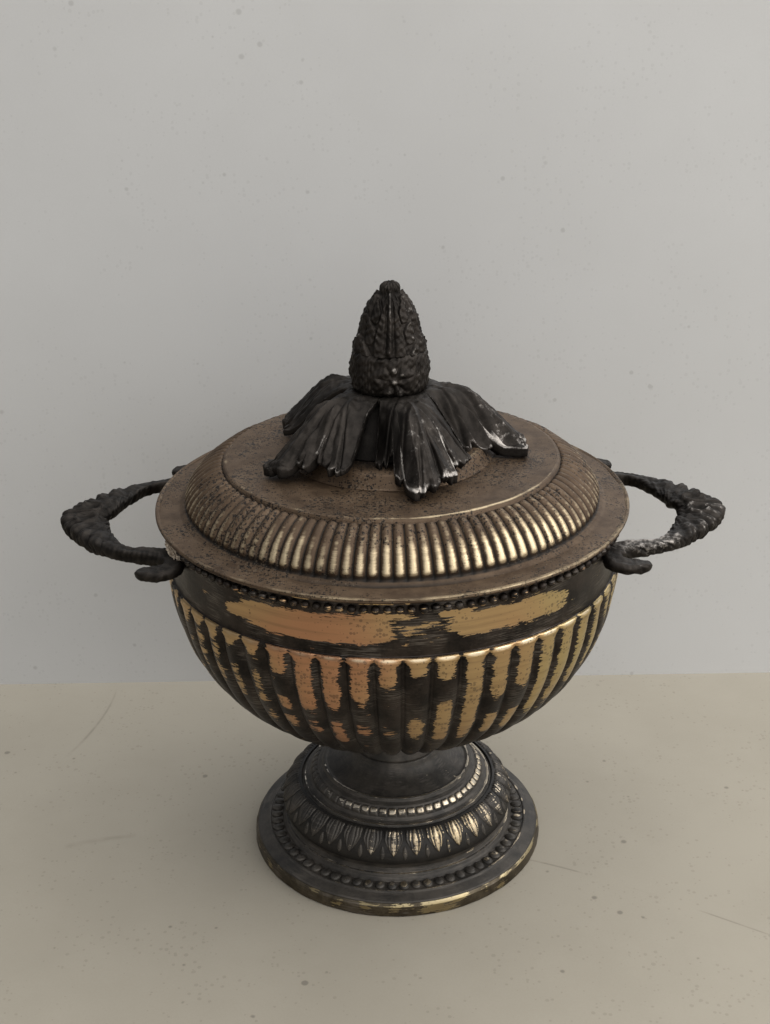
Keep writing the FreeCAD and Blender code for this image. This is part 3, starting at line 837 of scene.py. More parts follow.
@dataclass(frozen=True)
class Crumbly:
    """Pale crumbly filler at a soldered joint."""

    name: str = "crumbly_filler"
    dark: Rgb = (0.16, 0.11, 0.07, 1)
    light: Rgb = (0.62, 0.52, 0.40, 1)

    def build(self, effects: Effects) -> Material:
        """Mottles the filler finely between two browns.

        Args:
            effects: the shared shader groups.

        Returns:
            The material.
        """
        made, n, shader = material(self.name)
        tone = n.group(effects.tone, {"Dark": self.dark, "Light": self.light, "Scale": 420.0})
        n.feed(tone.outputs["Color"], shader, "Base Color")
        shader.inputs["Roughness"].default_value = 0.85
        add_bump(n, shader, tone.outputs["Cloud"], 0.5)
        return made


@dataclass(frozen=True)
class StageFinish:
    """Matt paint or stone for the floor and the wall."""

    name: str
    dark: Rgb
    light: Rgb
    scale: float
    marks: float = 0.6
    lines: float = 0.5
    dirt: Rgb = (0.12, 0.105, 0.085, 1)
    one_sided: bool = False

    def build(self, effects: Effects) -> Material:
        """Adds scratches, dots and grit to a cloudy colour.

        Args:
            effects: the shared shader groups.

        Returns:
            The material.
        """
        made, n, shader = material(self.name)
        tone = n.group(effects.tone, {"Dark": self.dark, "Light": self.light, "Scale": self.scale})
        place = n.place()
        warped = n.add("ShaderNodeTexNoise", {"Vector": place, "Scale": 1.6, "Detail": 1.0,
                                              "Distortion": 0.2}).outputs["Fac"]
        from_line = n.math("ABSOLUTE", n.minus(warped, 0.5))
        line = n.minus(1.0, n.times(from_line, 900.0), clamp=True)
        broken = n.ramp(n.noise(place, 16.0, 4.0), 0.50, 0.62)
        line = n.times(n.times(line, broken), self.lines)
        dots = effects.specks(n, 95.0, 0.20)
        grit = effects.specks(n, 420.0, 0.5)
        dirt = n.math("MAXIMUM", n.times(dots, self.marks), n.times(grit, self.marks * 0.35))
        dirt = n.math("MAXIMUM", line, dirt)
        n.feed(n.blend(dirt, tone.outputs["Color"], self.dirt), shader, "Base Color")
        shader.inputs["Roughness"].default_value = 0.8
        add_bump(n, shader, tone.outputs["Cloud"], 0.4, 0.5)
        if self.one_sided:
            clear = n.add("ShaderNodeBsdfTransparent")
            back = n.add("ShaderNodeNewGeometry").outputs["Backfacing"]
            both = n.add("ShaderNodeMixShader", {0: back, 1: shader.outputs[0],
                                                 2: clear.outputs[0]})
            output = next(x for x in n.tree.nodes if x.type == "OUTPUT_MATERIAL")
            n.feed(both.outputs[0], output, 0)
        return made


class Finishes:
    """Every material of the object and the stage."""

    def __init__(self, effects: Effects) -> None:
        """Builds the materials.

        Args:
            effects: the shared shader groups.
        """
        self.bowl = WornPatina().build(effects)
        self.foot = WornPatina(name="foot_patina", dark=(0.026, 0.0232, 0.020, 1),
                               light=(0.068, 0.0585, 0.048, 1), mean_radius=0.06, tear=0.55,
                               brass_rose=(0.50, 0.45, 0.38, 1), brass_tan=(0.48, 0.385, 0.25, 1),
                               brass_green=(0.42, 0.33, 0.18, 1), scratches=0.25,
                               highlight_brass=(0.74, 0.68, 0.58, 1), patina_rough=0.52,
                               patina_metal=0.45).build(effects)
        self.rim = WornPatina(name="foot_rim_brass", dark=(0.035, 0.026, 0.015, 1),
                              light=(0.105, 0.084, 0.055, 1), mean_radius=0.074, tear=0.75,
                              brass_tan=(0.34, 0.27, 0.155, 1), brass_green=(0.36, 0.29, 0.16, 1),
                              highlight_brass=(0.60, 0.52, 0.36, 1),
                              tarnish=(0.15, 0.11, 0.065, 1)).build(effects)
        self.lid = DustyBronze().build(effects)
        self.cast = CastBronze().build(effects)
        self.brass = PlainMetal(name="plain_brass").build(effects)
        self.lining = PlainMetal(name="dull_lining", dark=(0.10, 0.075, 0.045, 1),
                                 light=(0.26, 0.195, 0.115, 1), roughness=0.5).build(effects)
        self.steel = PlainMetal(name="plain_steel", dark=(0.18, 0.18, 0.18, 1),
                                light=(0.42, 0.41, 0.40, 1), roughness=0.38).build(effects)
        self.filler = Crumbly().build(effects)
        self.floor = StageFinish("floor_stone", (0.322, 0.288, 0.228, 1), (0.352, 0.316, 0.252, 1),
                                 9.0).build(effects)
        self.wall = StageFinish("wall_paint", (0.545, 0.537, 0.522, 1), (0.58, 0.573, 0.559, 1),
                                5.0, marks=0.22, lines=0.0, one_sided=True).build(effects)


# ---- foot


@dataclass
class Foot:
    """The trumpet foot: rim band, shell, beads, hanging leaves, tongues and stem collar."""

    radius: float = 73.2
    beads: int = 68
    bead_radius: float = 61.8
    leaves: int = 33
    leaf_gap_azimuth: float = 3.5
    leaf_sheet: float = 0.6
    steps_per_leaf: int = 40
    tongues: int = 58
    steps_per_tongue: int = 14
    columns: int = 288
    stem_columns: int = 160

    def build(self, finishes: Finishes) -> None:
        """Builds and dresses every piece of the foot.

        Args:
            finishes: every material.
        """
        dress(self.rim_band(), finishes.rim, "foot_brass", Body.URN, "foot_rim_band")
        dress(self.shell(), finishes.foot, "foot_patina", Body.URN, "foot_shell")
        dress(self.bead_ring(), finishes.foot, "foot_patina", Body.URN, "foot_bead_ring")
        dress(self.leaf_band(), finishes.foot, "foot_patina", Body.URN, "foot_leaf_band")
        dress(self.tongue_ring(), finishes.foot, "foot_patina", Body.URN, "foot_tongue_ring")
        dress(self.stem(), finishes.foot, "foot_patina", Body.URN, "stem_collar")

    @staticmethod
    def right_light(azimuth: Array) -> Array:
        """How much painted highlight the right-hand front gets, 0 to 1."""
        return smoothstep(0.0, 1.0, 0.5 + 0.6 * np.cos(np.radians(azimuth - 50.0)))

    def rim_band(self) -> Piece:
        """The heavy plain ring that the foot stands on.

        Returns:
            The new object.
        """
        low, high = node_box("foot_rim_band")
        inner, outer, top = self.radius - 8.0, self.radius, high[2]
        profile = rounded([(inner + 2, low[2], 0), (outer, low[2], 0.9),
                           (outer - 0.5, top - 1.6, 0.5), (outer - 1.7, top - 0.1, 0.5),
                           (inner, top - 0.2, 0.3), (inner, low[2], 0.5),
                           (inner + 2, low[2], 0)], 1.0)

        def relief(rows: Array, z: Array, azimuth: Array) -> tuple[Array, Layers]:
            """A slightly uneven skin, worn most at the front right and round its side, with
            painted highlight on the right-hand front and along the top edge.

            Args:
                rows: not used.
                z: heights.
                azimuth: azimuths in degrees.

            Returns:
                The movement outwards, and the layers.
            """
            arc = azimuth * 1.3
            patch = ripples(arc, z * 2.5, 16.0, 3)
            side = smoothstep(0.3, 1.2, z) * (1.0 - smoothstep(top - 1.0, top - 0.2, z))
            # painted highlight on the right-hand front, strongest along the top edge
            lit = self.right_light(azimuth)
            wear_and_highlight = 0.20 + 0.12 * patch + 0.50 * bump(17.0, 11.0, azimuth) + 0.04 * lit
            wear_and_highlight = np.where(z > top - 1.5, wear_and_highlight + 0.08 + 0.16 * lit, wear_and_highlight * np.maximum(side, 0.7))
            return 0.06 * ripples(arc, z, 9.0, 5), {
                "wear_and_highlight": np.clip(wear_and_highlight, 0, 1),
                "crest": 0.8 + 0.30 * lit * smoothstep(top - 1.9, top - 1.0, z),
                "tint": 0.75 + 0.15 * patch}

        return lathed("foot_rim", profile, self.columns, True, relief)

    def shell(self) -> Piece:
        """The spun shell, hollow below.

        Returns:
            The new object.
        """
        _, high = node_box("foot_shell")
        top = high[2]
        steps = rounded([(71.8, 6.9, 0), (71.2, 7.5, 0.5), (66.9, 9, 1.5), (65.9, 9.7, 0.5),
                         (65.2, 9.7, 0.4), (64.8, 9.3, 0.4), (59, 9.5, 0.4), (58.4, 10.6, 0.6),
                         (57.8, 11.4, 0.4), (57.2, 12.7, 0.5), (56.1, 12.7, 0.4),
                         (55.2, 15.2, 1.6), (56.6, 18.6, 2.5), (57, 21, 4)], 0.7)
        ovolo = through([(57, 21), (56.2, 24.5), (54, 28.4), (50.6, 31.3), (48.2, 32.3)], 0.9)
        upper = rounded([(48.2, 32.3, 0), (47.4, 32.6, 0.3), (46.9, 33.6, 0.45),
                         (45.9, 33.4, 0.4), (44.4, 34, 1.2), (43.2, 35.6, 0.8),
                         (39.6, 39.4, 0.6), (37.6, 40.3, 0.5), (37, 41.9, 0.45),
                         (35.8, 41.8, 0.45), (34.8, 41.5, 0.8)], 0.6)
        neck = through([(34.8, 41.5), (30, 43.2), (25.6, 45.6), (23, 48.4), (21.6, top)], 1)
        under = rounded([(21.6, top, 0), (3.4, top, 0.2), (3.4, top - 3.4, 0.2),
                         (20, top - 3.4, 1), (25, 43.4, 3), (35, 39.4, 3),
                         (42, 33.4, 3), (50.6, 28.8, 4), (54.8, 21, 6),
                         (54, 12, 2), (58.4, 7, 1), (71.8, 6.9, 0)], 3)
        profile = joined(steps, ovolo, upper, neck, under)[:-1]
        outside = len(joined(steps, ovolo, upper, neck))

        def relief(rows: Array, z: Array, azimuth: Array) -> tuple[Array, Layers]:
            """Wear on the ridges of the outside, with painted highlight that grows towards the
            right-hand front.

            Args:
                rows: row numbers.
                z: heights.
                azimuth: azimuths in degrees.

            Returns:
                The movement outwards, and the layers.
            """
            radius = profile[:, :1] + np.zeros_like(z)
            lit = self.right_light(azimuth)
            ridges = (bump(36.4, 0.9, radius) * bump(41.8, 0.9, z)
                      + bump(46.4, 0.9, radius) * bump(33.5, 0.8, z)
                      + 0.8 * bump(56.7, 0.9, radius) * bump(12.6, 0.9, z)
                      + 0.5 * bump(65.6, 1.0, radius) * bump(9.6, 0.8, z))
            # ridges: wear and a pale painted highlight; lit adds painted highlight and shifts the
            # tint on the right
            wear_and_highlight = 0.10 + ridges * (0.38 + 0.42 * lit)
            wear_and_highlight += 0.10 * ripples(azimuth * 0.8, z * 1.5, 9.0, 11) * (0.3 + lit)
            wear_and_highlight = np.where(rows < outside, wear_and_highlight, 0.05)
            return np.zeros_like(z), {"wear_and_highlight": np.clip(wear_and_highlight, 0.0, 1.0),
                                      "crest": 0.7 + 0.55 * np.clip(ridges, 0, 1),
                                      "tint": 0.08 + 0.2 * lit}

        return lathed("foot_body", profile, self.columns, True, relief)

    def bead_ring(self) -> Piece:
        """Oval beads that lie across the channel.

        Returns:
            The new object.
        """
        low, _ = node_box("foot_bead_ring")
        beads = BeadRow(count=self.beads, radius=self.bead_radius, height=low[2] + 1.0,
                        across=3.0, along=2.5, out=1.5, skew_deg=14.0)
        # beads on the right-hand front get more painted highlight
        return beads.build("foot_beads", self.right_light, 0.16, 0.42)

    def leaf_band(self) -> Piece:
        """Pointed veined leaves that hang round the swelling of the foot, drops between them.

        Returns:
            The new object.
        """
        outer = through([(48.4, 32.45), (50.8, 31.5), (54.2, 28.6), (56.4, 24.6), (57.2, 21),
                         (56.9, 18.9)], 0.42)
        inner = outer[::-1] + profile_normals(outer[::-1]) * self.leaf_sheet
        profile = np.concatenate([outer[::-1], inner[::-1]])
        skin = len(outer)
        pitch = 360.0 / self.leaves

        def relief(rows: Array, z: Array, azimuth: Array) -> tuple[Array, Layers]:
            """Leaves with a rib and veins, and a drop in each gap; the raised parts are worn, with
            painted highlight towards the right-hand front.

            Args:
                rows: row numbers.
                z: not used.
                azimuth: azimuths in degrees.

            Returns:
                The movement outwards, and the layers.
            """
            down = np.clip(1.0 - rows / (skin - 1.0), 0.0, 1.0)
            place = (azimuth - self.leaf_gap_azimuth) / pitch
            centred = 2.0 * (place % 1.0) - 1.0
            side = np.abs(centred)
            width = np.where(down < 0.34, 1.0,
                             np.clip(1.0 - (down - 0.34) / 0.44, 0.0, 1.0) ** 0.72)
            inside = smoothstep(0.0, 0.16, width - side)
            rib = np.exp(-(centred / 0.07) ** 2)
            share = side / np.maximum(width, 0.08)
            vein = 0.5 + 0.5 * np.cos(math.tau * (share * 3.0 - down * 1.2))
            swell = np.sqrt(np.clip(1.0 - share**2, 0.0, 1.0))
            leaf = inside * (0.36 + 0.40 * swell + 0.30 * rib + 0.26 * vein * (1 - rib))
            gap = 1.0 - side
            drop_half = 0.27 * np.sqrt(np.clip((down - 0.50) / 0.16, 0, 1)
                                       * np.clip((0.86 - down) / 0.10, 0, 1))
            drop = np.sqrt(np.clip(1.0 - (gap / np.maximum(drop_half, 1e-3)) ** 2, 0.0, 1.0))
            drop = np.where(drop_half > 0.01, drop, 0.0) * 0.8
            fade = smoothstep(0.0, 0.14, down) * (1.0 - smoothstep(0.93, 1.0, down))
            height = np.maximum(leaf * fade, drop)
            height = np.where(rows < skin, height, 0.0)
            lit = self.right_light(azimuth)
            # right-front leaves: a warmer brass tint of their own and a painted highlight
            gilt_and_highlight = bump(28.0, 40.0, azimuth)
            wear_and_highlight = np.clip((height - 0.46) * (0.40 + 0.45 * lit + 0.50 * gilt_and_highlight), 0, 1)
            return -0.15 + 1.8 * height, {"wear_and_highlight": wear_and_highlight, "crest": 0.05 + 1.0 * height,
                                           "tint": 0.25 + 0.40 * gilt_and_highlight}

        return lathed("foot_leaves", profile, self.leaves * self.steps_per_leaf, True, relief)

    def tongue_ring(self) -> Piece:
        """Small upright tongues on the slope under the neck.

        Returns:
            The new object.
        """
        outer = densified(np.array([(43.5, 35.5), (39.3, 39.5)]), 0.3)
        inner = outer[::-1] - np.array([0.5, 0.5])
        profile = np.concatenate([outer, inner])
        skin = len(outer)
        pitch = 360.0 / self.tongues

        def relief(rows: Array, z: Array, azimuth: Array) -> tuple[Array, Layers]:
            """One rounded tongue in each pitch, worn on its face, with painted highlight towards
            the right-hand front.

            Args:
                rows: row numbers.
                z: not used.
                azimuth: azimuths in degrees.

            Returns:
                The movement outwards, and the layers.
            """
            up = np.clip(rows / (skin - 1.0), 0.0, 1.0)
            side = np.abs(2.0 * ((azimuth / pitch) % 1.0) - 1.0)
            across = np.clip(1.0 - (side / 0.86) ** 6, 0.0, 1.0) ** 0.5
            along = np.clip(1.0 - (np.abs(up - 0.42) / 0.36) ** 3, 0.0, 1.0) ** 0.5
            height = np.where(rows < skin, across * along, 0.0)
            lit = self.right_light(azimuth)
            # lit adds painted highlight and shifts the tint on the right-hand front
            wear_and_highlight = height * (0.30 + 0.45 * lit) * (0.55 + 0.45 * bump(0.5, 0.4, up))
            return -0.1 + 1.05 * height, {"wear_and_highlight": wear_and_highlight, "crest": 0.3 + 0.85 * height,
                                          "tint": 0.1 + 0.25 * lit}

        return lathed("foot_tongues", profile, self.tongues * self.steps_per_tongue, True, relief)

    def stem(self) -> Piece:
        """The waisted collar between foot and bowl.

        Returns:
            The new object.
        """
        low, high = node_box("stem_collar")
        outside = through([(21.6, low[2]), (20.4, 56), (19.4, 61), (20.6, 66.4), (24, high[2])], 1)
        profile = joined(outside, rounded([(24, high[2], 0), (16.6, high[2], 0.3),
                                           (16.6, low[2], 0.3), (21.6, low[2], 0)], 3))[:-1]

        def relief(rows: Array, z: Array, azimuth: Array) -> tuple[Array, Layers]:
            """Nearly even patina."""
            wear_and_highlight = 0.10 + 0.08 * ripples(azimuth * 0.4, z, 7.0, 21)
            return np.zeros_like(z), {"wear_and_highlight": wear_and_highlight, "crest": 0.8 + 0 * z, "tint": 0.3 + 0 * z}

        return lathed("stem", profile, self.stem_columns, True, relief)


POLE_GAP = 1e-3  # keeps the faces at a bead's poles from closing up


@dataclass
class BeadRow:
    """A ring of beads, made as one mesh."""

    count: int
    radius: float
    height: float
    across: float
    along: float
    out: float
    skew_deg: float = 0.0
    rings: int = 8
    sides: int = 12
    upright: bool = False

    def build(self, name: str, lit: Callable[[Array], Array], worn_low: float,
              wear_and_highlight_high: float) -> Piece:
        """The mesh of the row.

        Args:
            name: name of the piece.
            lit: how much painted highlight each azimuth gets, 0 to 1.
            worn_low: wear where lit is 0.
            wear_and_highlight_high: wear and painted highlight where lit is 1.

        Returns:
            The new object.
        """
        lat = np.linspace(0.0, math.pi, self.rings + 1)
        lon = np.linspace(0.0, math.tau, self.sides, endpoint=False)
        ring_index = np.arange((self.rings + 1) * self.sides).reshape(self.rings + 1, self.sides)
        ring_index = np.concatenate([ring_index, ring_index[:, :1]], axis=1)
        faces = np.stack([ring_index[:-1, :-1], ring_index[1:, :-1], ring_index[1:, 1:],
                          ring_index[:-1, 1:]], axis=-1).reshape(-1, 4)
        up = (np.cos(lat)[:, None] + 0 * lon[None, :]).ravel()
        side_a = (np.sin(lat)[:, None] * np.cos(lon)[None, :]).ravel()
        side_b = (np.sin(lat)[:, None] * np.sin(lon)[None, :]).ravel()
        side_a = side_a + POLE_GAP * np.cos(np.tile(lon, self.rings + 1))
        skew = math.radians(self.skew_deg)
        points, quads, wear_and_highlight, crest, tint = [], [], [], [], []
        rng = np.random.default_rng(self.count)
        for k in range(self.count):
            azimuth = 360.0 * (k + 0.5) / self.count
            size = 1.0 + rng.uniform(-0.05, 0.05)
            radial = side_a * math.cos(skew) - side_b * math.sin(skew)
            tangent = side_a * math.sin(skew) + side_b * math.cos(skew)
            if self.upright:
                outwards, level = up * self.out, side_a * self.across
                sideways = side_b * self.along
            else:
                outwards, level = radial * self.across, up * self.out
                sideways = tangent * self.along
            turn = math.radians(azimuth)
            reach = self.radius + outwards * size
            x = reach * math.sin(turn) + sideways * size * math.cos(turn)
            y = -reach * math.cos(turn) + sideways * size * math.sin(turn)
            points.append(np.stack([x, y, self.height + level * size], axis=1))
            quads.append(faces + k * len(x))
            amount = float(lit(wrapped(np.array([azimuth])))[0])
            # wear, with painted highlight where lit is high
            bead_wear_and_highlight = worn_low + (wear_and_highlight_high - worn_low) * amount + rng.uniform(-0.08, 0.08)
            # each bead's upper side, its outer face in an upright row, gets painted highlight, and
            # its lower side painted shade
            wear_and_highlight.append(bead_wear_and_highlight * smoothstep(-0.2, 0.9, up))
            crest.append(0.45 + 0.65 * smoothstep(-0.2, 1.0, up))
            tint.append(np.full(len(x), 0.1 + 0.3 * amount))
        return raw_object(name, np.concatenate(points), np.concatenate(quads),
                          {"wear_and_highlight": np.concatenate(wear_and_highlight), "crest": np.concatenate(crest),
                           "tint": np.concatenate(tint)})


# ---- bowl


@dataclass(frozen=True)
class Wear:
    """One worn place on the bowl: middle and half size, in degrees and millimetres."""

    azimuth: float
    height: float
    half_angle: float
    half_height: float
    strength: float = 1.0

    def field(self, azimuth: Array, z: Array) -> Array:
        """The place's strength at each point, fading at its border.

        Args:
            azimuth: azimuths in degrees.
            z: heights.

        Returns:
            The strength, 0 to 1.
        """
        across = np.abs(wrapped(azimuth - self.azimuth)) / self.half_angle
        along = np.abs(z - self.height) / self.half_height
        return self.strength * (1.0 - smoothstep(0.72, 1.18, (across**4 + along**4) ** 0.25))


@dataclass
class Bowl:
    """The gadrooned bowl, its bead row and its rim ring."""

    gadroons: int = 54
    gadroon_depth: float = 2.9
    valley_azimuth: float = 1.9
    shoulder_z: float = 157.4
    band_radius: float = 104.2
    band_top_radius: float = 104.8
    wall: float = 2.0
    beads: int = 136
    steps_per_gadroon: int = 20
    rim_columns: int = 288
    band_wear: list[Wear] = field(default_factory=lambda: [
        Wear(-19, 169.9, 20, 6.6, 1), Wear(27, 170.5, 15.5, 5.6, 1),
        Wear(-35, 168.5, 8, 3.5, 0.8), Wear(40, 169, 5, 4.5, 0.8),
        Wear(14.5, 177, 4.5, 1.2, 0.8), Wear(-6, 176.6, 12, 1.3, 0.7),
        Wear(6, 168, 5, 8, 0.3), Wear(150, 169, 30, 6, 0.9),
        Wear(-110, 168, 24, 5.5, 0.75), Wear(95, 168, 14, 4, 0.5)])
    crest_lows: dict[int, float] = field(default_factory=lambda: {
        -9: 151, -8: 150, -7: 151.5, -6: 150.5, -5: 146, -4: 127, -3: 131,
        -2: 135, -1: 143, 0: 149, 1: 147, 2: 109, 3: 131, 4: 135, 5: 112,
        6: 114, 7: 118, 8: 122.0})
    crest_patches: list[Wear] = field(default_factory=lambda: [
        Wear(-28.1, 128, 3, 4, 0.85), Wear(5.2, 118, 3, 7, 0.8),
        Wear(11.9, 121, 3, 14, 0.95), Wear(25.2, 114, 3, 7, 0.8),
        Wear(31.9, 114, 3, 7, 0.7), Wear(-38, 134, 9, 10, 0.55),
        Wear(-52, 140, 10, 12, 0.5), Wear(-18, 116, 18, 5, 0.55),
        Wear(-14.8, 110, 3, 4, 0.7)])

    def build(self, finishes: Finishes) -> None:
        """Builds and dresses every piece of the bowl.

        Args:
            finishes: every material.
        """
        made, inside = self.shell()
        shell = dress(made, finishes.bowl, "bowl_patina", Body.URN, "bowl_shell")
        shell.data.materials.append(finishes.lining)
        shell.data.polygons.foreach_set("material_index", inside)
        beads = BeadRow(count=self.beads, radius=self.band_top_radius + 0.75, height=180.2,
                        across=1.95, along=1.95, out=1.8, upright=True)
        # the front beads get more painted highlight
        row = beads.build("bowl_beads", self.bead_light, 0.10, 0.36)
        dress(row, finishes.bowl, "bowl_patina", Body.URN, "bowl_bead_ring")
        dress(self.rim_ring(), finishes.bowl, "bowl_patina", Body.URN, "bowl_rim_ring")

    @staticmethod
    def bead_light(azimuth: Array) -> Array:
        """The front beads get a little more painted highlight than the others."""
        return 0.3 + 0.7 * bump(0.0, 50.0, azimuth)

    def lobe_wear(self, azimuth: Array, z: Array) -> Array:
        """How far down each gadroon is worn, as a field over the belly.

        Args:
            azimuth: azimuths in degrees.
            z: heights.

        Returns:
            The wear of a crest at each point, 0 to 1.
        """
        pitch = 360.0 / self.gadroons
        number = np.round((azimuth - self.valley_azimuth) / pitch - 0.5)
        rng = np.random.default_rng(17)
        lows = {k: 150.0 - 26.0 * rng.random() ** 2 for k in range(-30, 31)}
        lows.update(self.crest_lows)
        low = np.vectorize(lows.get, otypes=[float])(number.astype(int))
        fade = 2.0 + 0.10 * (self.shoulder_z - low)
        upper = smoothstep(-1.0, 1.0, (z - low) / fade)
        places = [wear.field(azimuth, z) for wear in self.crest_patches]
        far = 0.38 * smoothstep(46.0, 60.0, np.abs(azimuth)) * bump(124.0, 22.0, z)
        dull = 1.0 - 0.35 * smoothstep(48.0, 62.0, np.abs(azimuth + 5.0))
        return np.clip(np.maximum.reduce([upper * dull, far] + places), 0.0, 1.0)

    def shell(self) -> tuple[Piece, Array]:
        """The bowl itself, with its smooth inside.

        Returns:
            The bowl, and for each face 1 on the inside and 0 elsewhere.
        """
        low, high = node_box("bowl_shell")
        bottom, top = low[2], high[2]
        base = rounded([(3.5, bottom, 0), (24, bottom, 0.5), (26.6, bottom + 1.1, 0.8)], 3)
        belly = through([(26.6, bottom + 1.1), (34, 73), (46, 76.5), (57.5, 81),
                         (66.5, 86), (79.8, 96), (88.9, 106), (95.2, 116),
                         (99.8, 126), (103.1, 136), (105.1, 146), (105.9, 152.6)], 1.7)
        ledge = rounded([(105.9, 152.6, 0), (106.2, 155.6, 0.8),
                         (105.7, self.shoulder_z, 0.9), (self.band_radius, 157.9, 0.35),
                         (self.band_radius, 159.0, 0)], 0.35)
        band = rounded([(self.band_radius, 159, 0), (self.band_top_radius - 0.2, 176, 0),
                        (self.band_top_radius, 177.6, 0.6), (self.band_top_radius, top, 0)], 1.6)
        inner = self.band_top_radius - self.wall
        inside = joined(
            rounded([(self.band_top_radius, top, 0), (inner, top, 0.2), (inner, 160, 0)], 5),
            through([(inner, 160), (101.6, 146), (96, 126), (85, 106), (70, 92.4),
                     (52, 82.6), (34, 76.8), (24, 74.9)], 5),
            rounded([(24, 74.9, 0), (16, 74.3, 2), (3.5, 74.3, 0), (3.5, bottom, 0)], 4))
        outside = joined(base, belly, ledge, band)
        profile = joined(outside, inside)[:-1]
        skin = len(outside)

        def relief(rows: Array, z: Array, azimuth: Array) -> tuple[Array, Layers]:
            """Gadroons with scalloped tops, slight dents, the wear, painted shade in the valleys
            and painted highlight along the ledge.

            Args:
                rows: row numbers.
                z: heights.
                azimuth: azimuths in degrees.

            Returns:
                The movement outwards, and the layers.
            """
            pitch = 360.0 / self.gadroons
            place = ((azimuth - self.valley_azimuth) / pitch) % 1.0
            across = np.abs(2.0 * place - 1.0)
            lobe = np.clip(1.0 - across**2.1, 0.0, 1.0) ** 0.62
            radius = profile[:, :1] + np.zeros_like(z)
            grow = smoothstep(26.0, 66.0, radius)
            arch = smoothstep(0.2, 4.6 - 2.6 * across**3, self.shoulder_z - 0.6 - z)
            on_belly = (rows < skin) & (z < self.shoulder_z + 0.3)
            depth = self.gadroon_depth * grow * arch * (1.0 - lobe)
            notch = 0.9 * across**6 * bump(self.shoulder_z - 1.0, 1.8, z)
            dents = 0.10 * ripples(azimuth * 1.8, z, 24.0, 31)
            moved = np.where(on_belly, -depth - notch, 0.0) + np.where(rows < skin, dents, 0.0)
            wear_and_highlight, tint = self.wear_layers(azimuth, z, across, arch)
            wear_and_highlight = np.where(rows < skin, wear_and_highlight, 0.0)
            # painted highlight along the ledge's top edge, strongest on the right-hand front
            rim = bump(self.shoulder_z - 0.6, 1.3, z) * (1.0 - across**4)
            ledge_highlight = 0.35 + 0.65 * bump(28.0, 60.0, azimuth)
            # a low crest in the valleys: darker patina and painted shade
            crest = np.where(z < self.shoulder_z, 0.25 + 0.7 * lobe, 0.85) + 0.45 * rim * ledge_highlight
            return moved, {"wear_and_highlight": wear_and_highlight, "crest": crest, "tint": tint}

        made = lathed("bowl", profile, self.gadroons * self.steps_per_gadroon, True, relief)
        inside_rows = np.zeros(len(profile), dtype=np.int32)
        inside_rows[skin:] = 1
        return made, np.repeat(inside_rows, self.gadroons * self.steps_per_gadroon)

    def wear_layers(self, azimuth: Array, z: Array, across: Array,
                    arch: Array) -> tuple[Array, Array]:
        """The worn and tint layers of the bowl's skin.

        Args:
            azimuth: azimuths in degrees.
            z: heights.
            across: distance from the crest, as a share of the way to the valley.
            arch: 0 at the shoulder and 1 where the valleys are fully deep.

        Returns:
            Worn and tint, 0 to 1.
        """
        band = np.maximum.reduce([w.field(azimuth, z) for w in self.band_wear])
        band = band * 1.02 + 0.05 * ripples(azimuth * 1.8, z * 6.0, 20.0, 41) + 0.04
        band = band * smoothstep(160.6, 163.4, z)
        slim = 0.12 * smoothstep(24.0, 34.0, -azimuth) + 0.08 * smoothstep(50.0, 60.0, azimuth)
        crest_share = 1.0 - smoothstep(0.20 - slim, 0.90 - slim, across * (0.58 + 0.42 * arch))
        spread = 0.10 * ripples(azimuth * 1.8, z * 1.4, 9.0, 43)
        belly = crest_share * (0.04 + 1.05 * self.lobe_wear(azimuth, z) + spread)
        wear_and_highlight = np.where(z > self.shoulder_z + 0.25, band, belly)
        rose = bump(-16.0, 26.0, azimuth)
        green = smoothstep(28.0, 40.0, azimuth)
        tint = 0.46 - 0.42 * rose + 0.36 * green + 0.06 * ripples(azimuth, z, 30.0, 47)
        return np.clip(wear_and_highlight, 0.0, 1.0), np.clip(tint, 0.0, 1.0)

    def rim_ring(self) -> Piece:
        """The flat ring that carries the lid.

        Returns:
            The new object.
        """
        low, high = node_box("bowl_rim_ring")
        outer = high[0] - 0.05
        profile = rounded([(101.6, low[2], 0), (outer, low[2], 0.3), (outer, high[2], 0.7),
                           (101.6, high[2], 0.3), (101.6, low[2], 0)], 0.8)[:-1]

        def relief(rows: Array, z: Array, azimuth: Array) -> tuple[Array, Layers]:
            """Nearly even patina."""
            return np.zeros_like(z), {"wear_and_highlight": 0.30 + 0.1 * ripples(azimuth, z, 12.0, 51),
                                      "crest": 0.7 + 0 * z, "tint": 0.5 + 0 * z}

        return lathed("bowl_rim", profile, self.rim_columns, True, relief)


# ---- handles


class Side(Enum):
    """Which way a handle points: the sign of X and the name's ending."""

    RIGHT = 1
    LEFT = -1


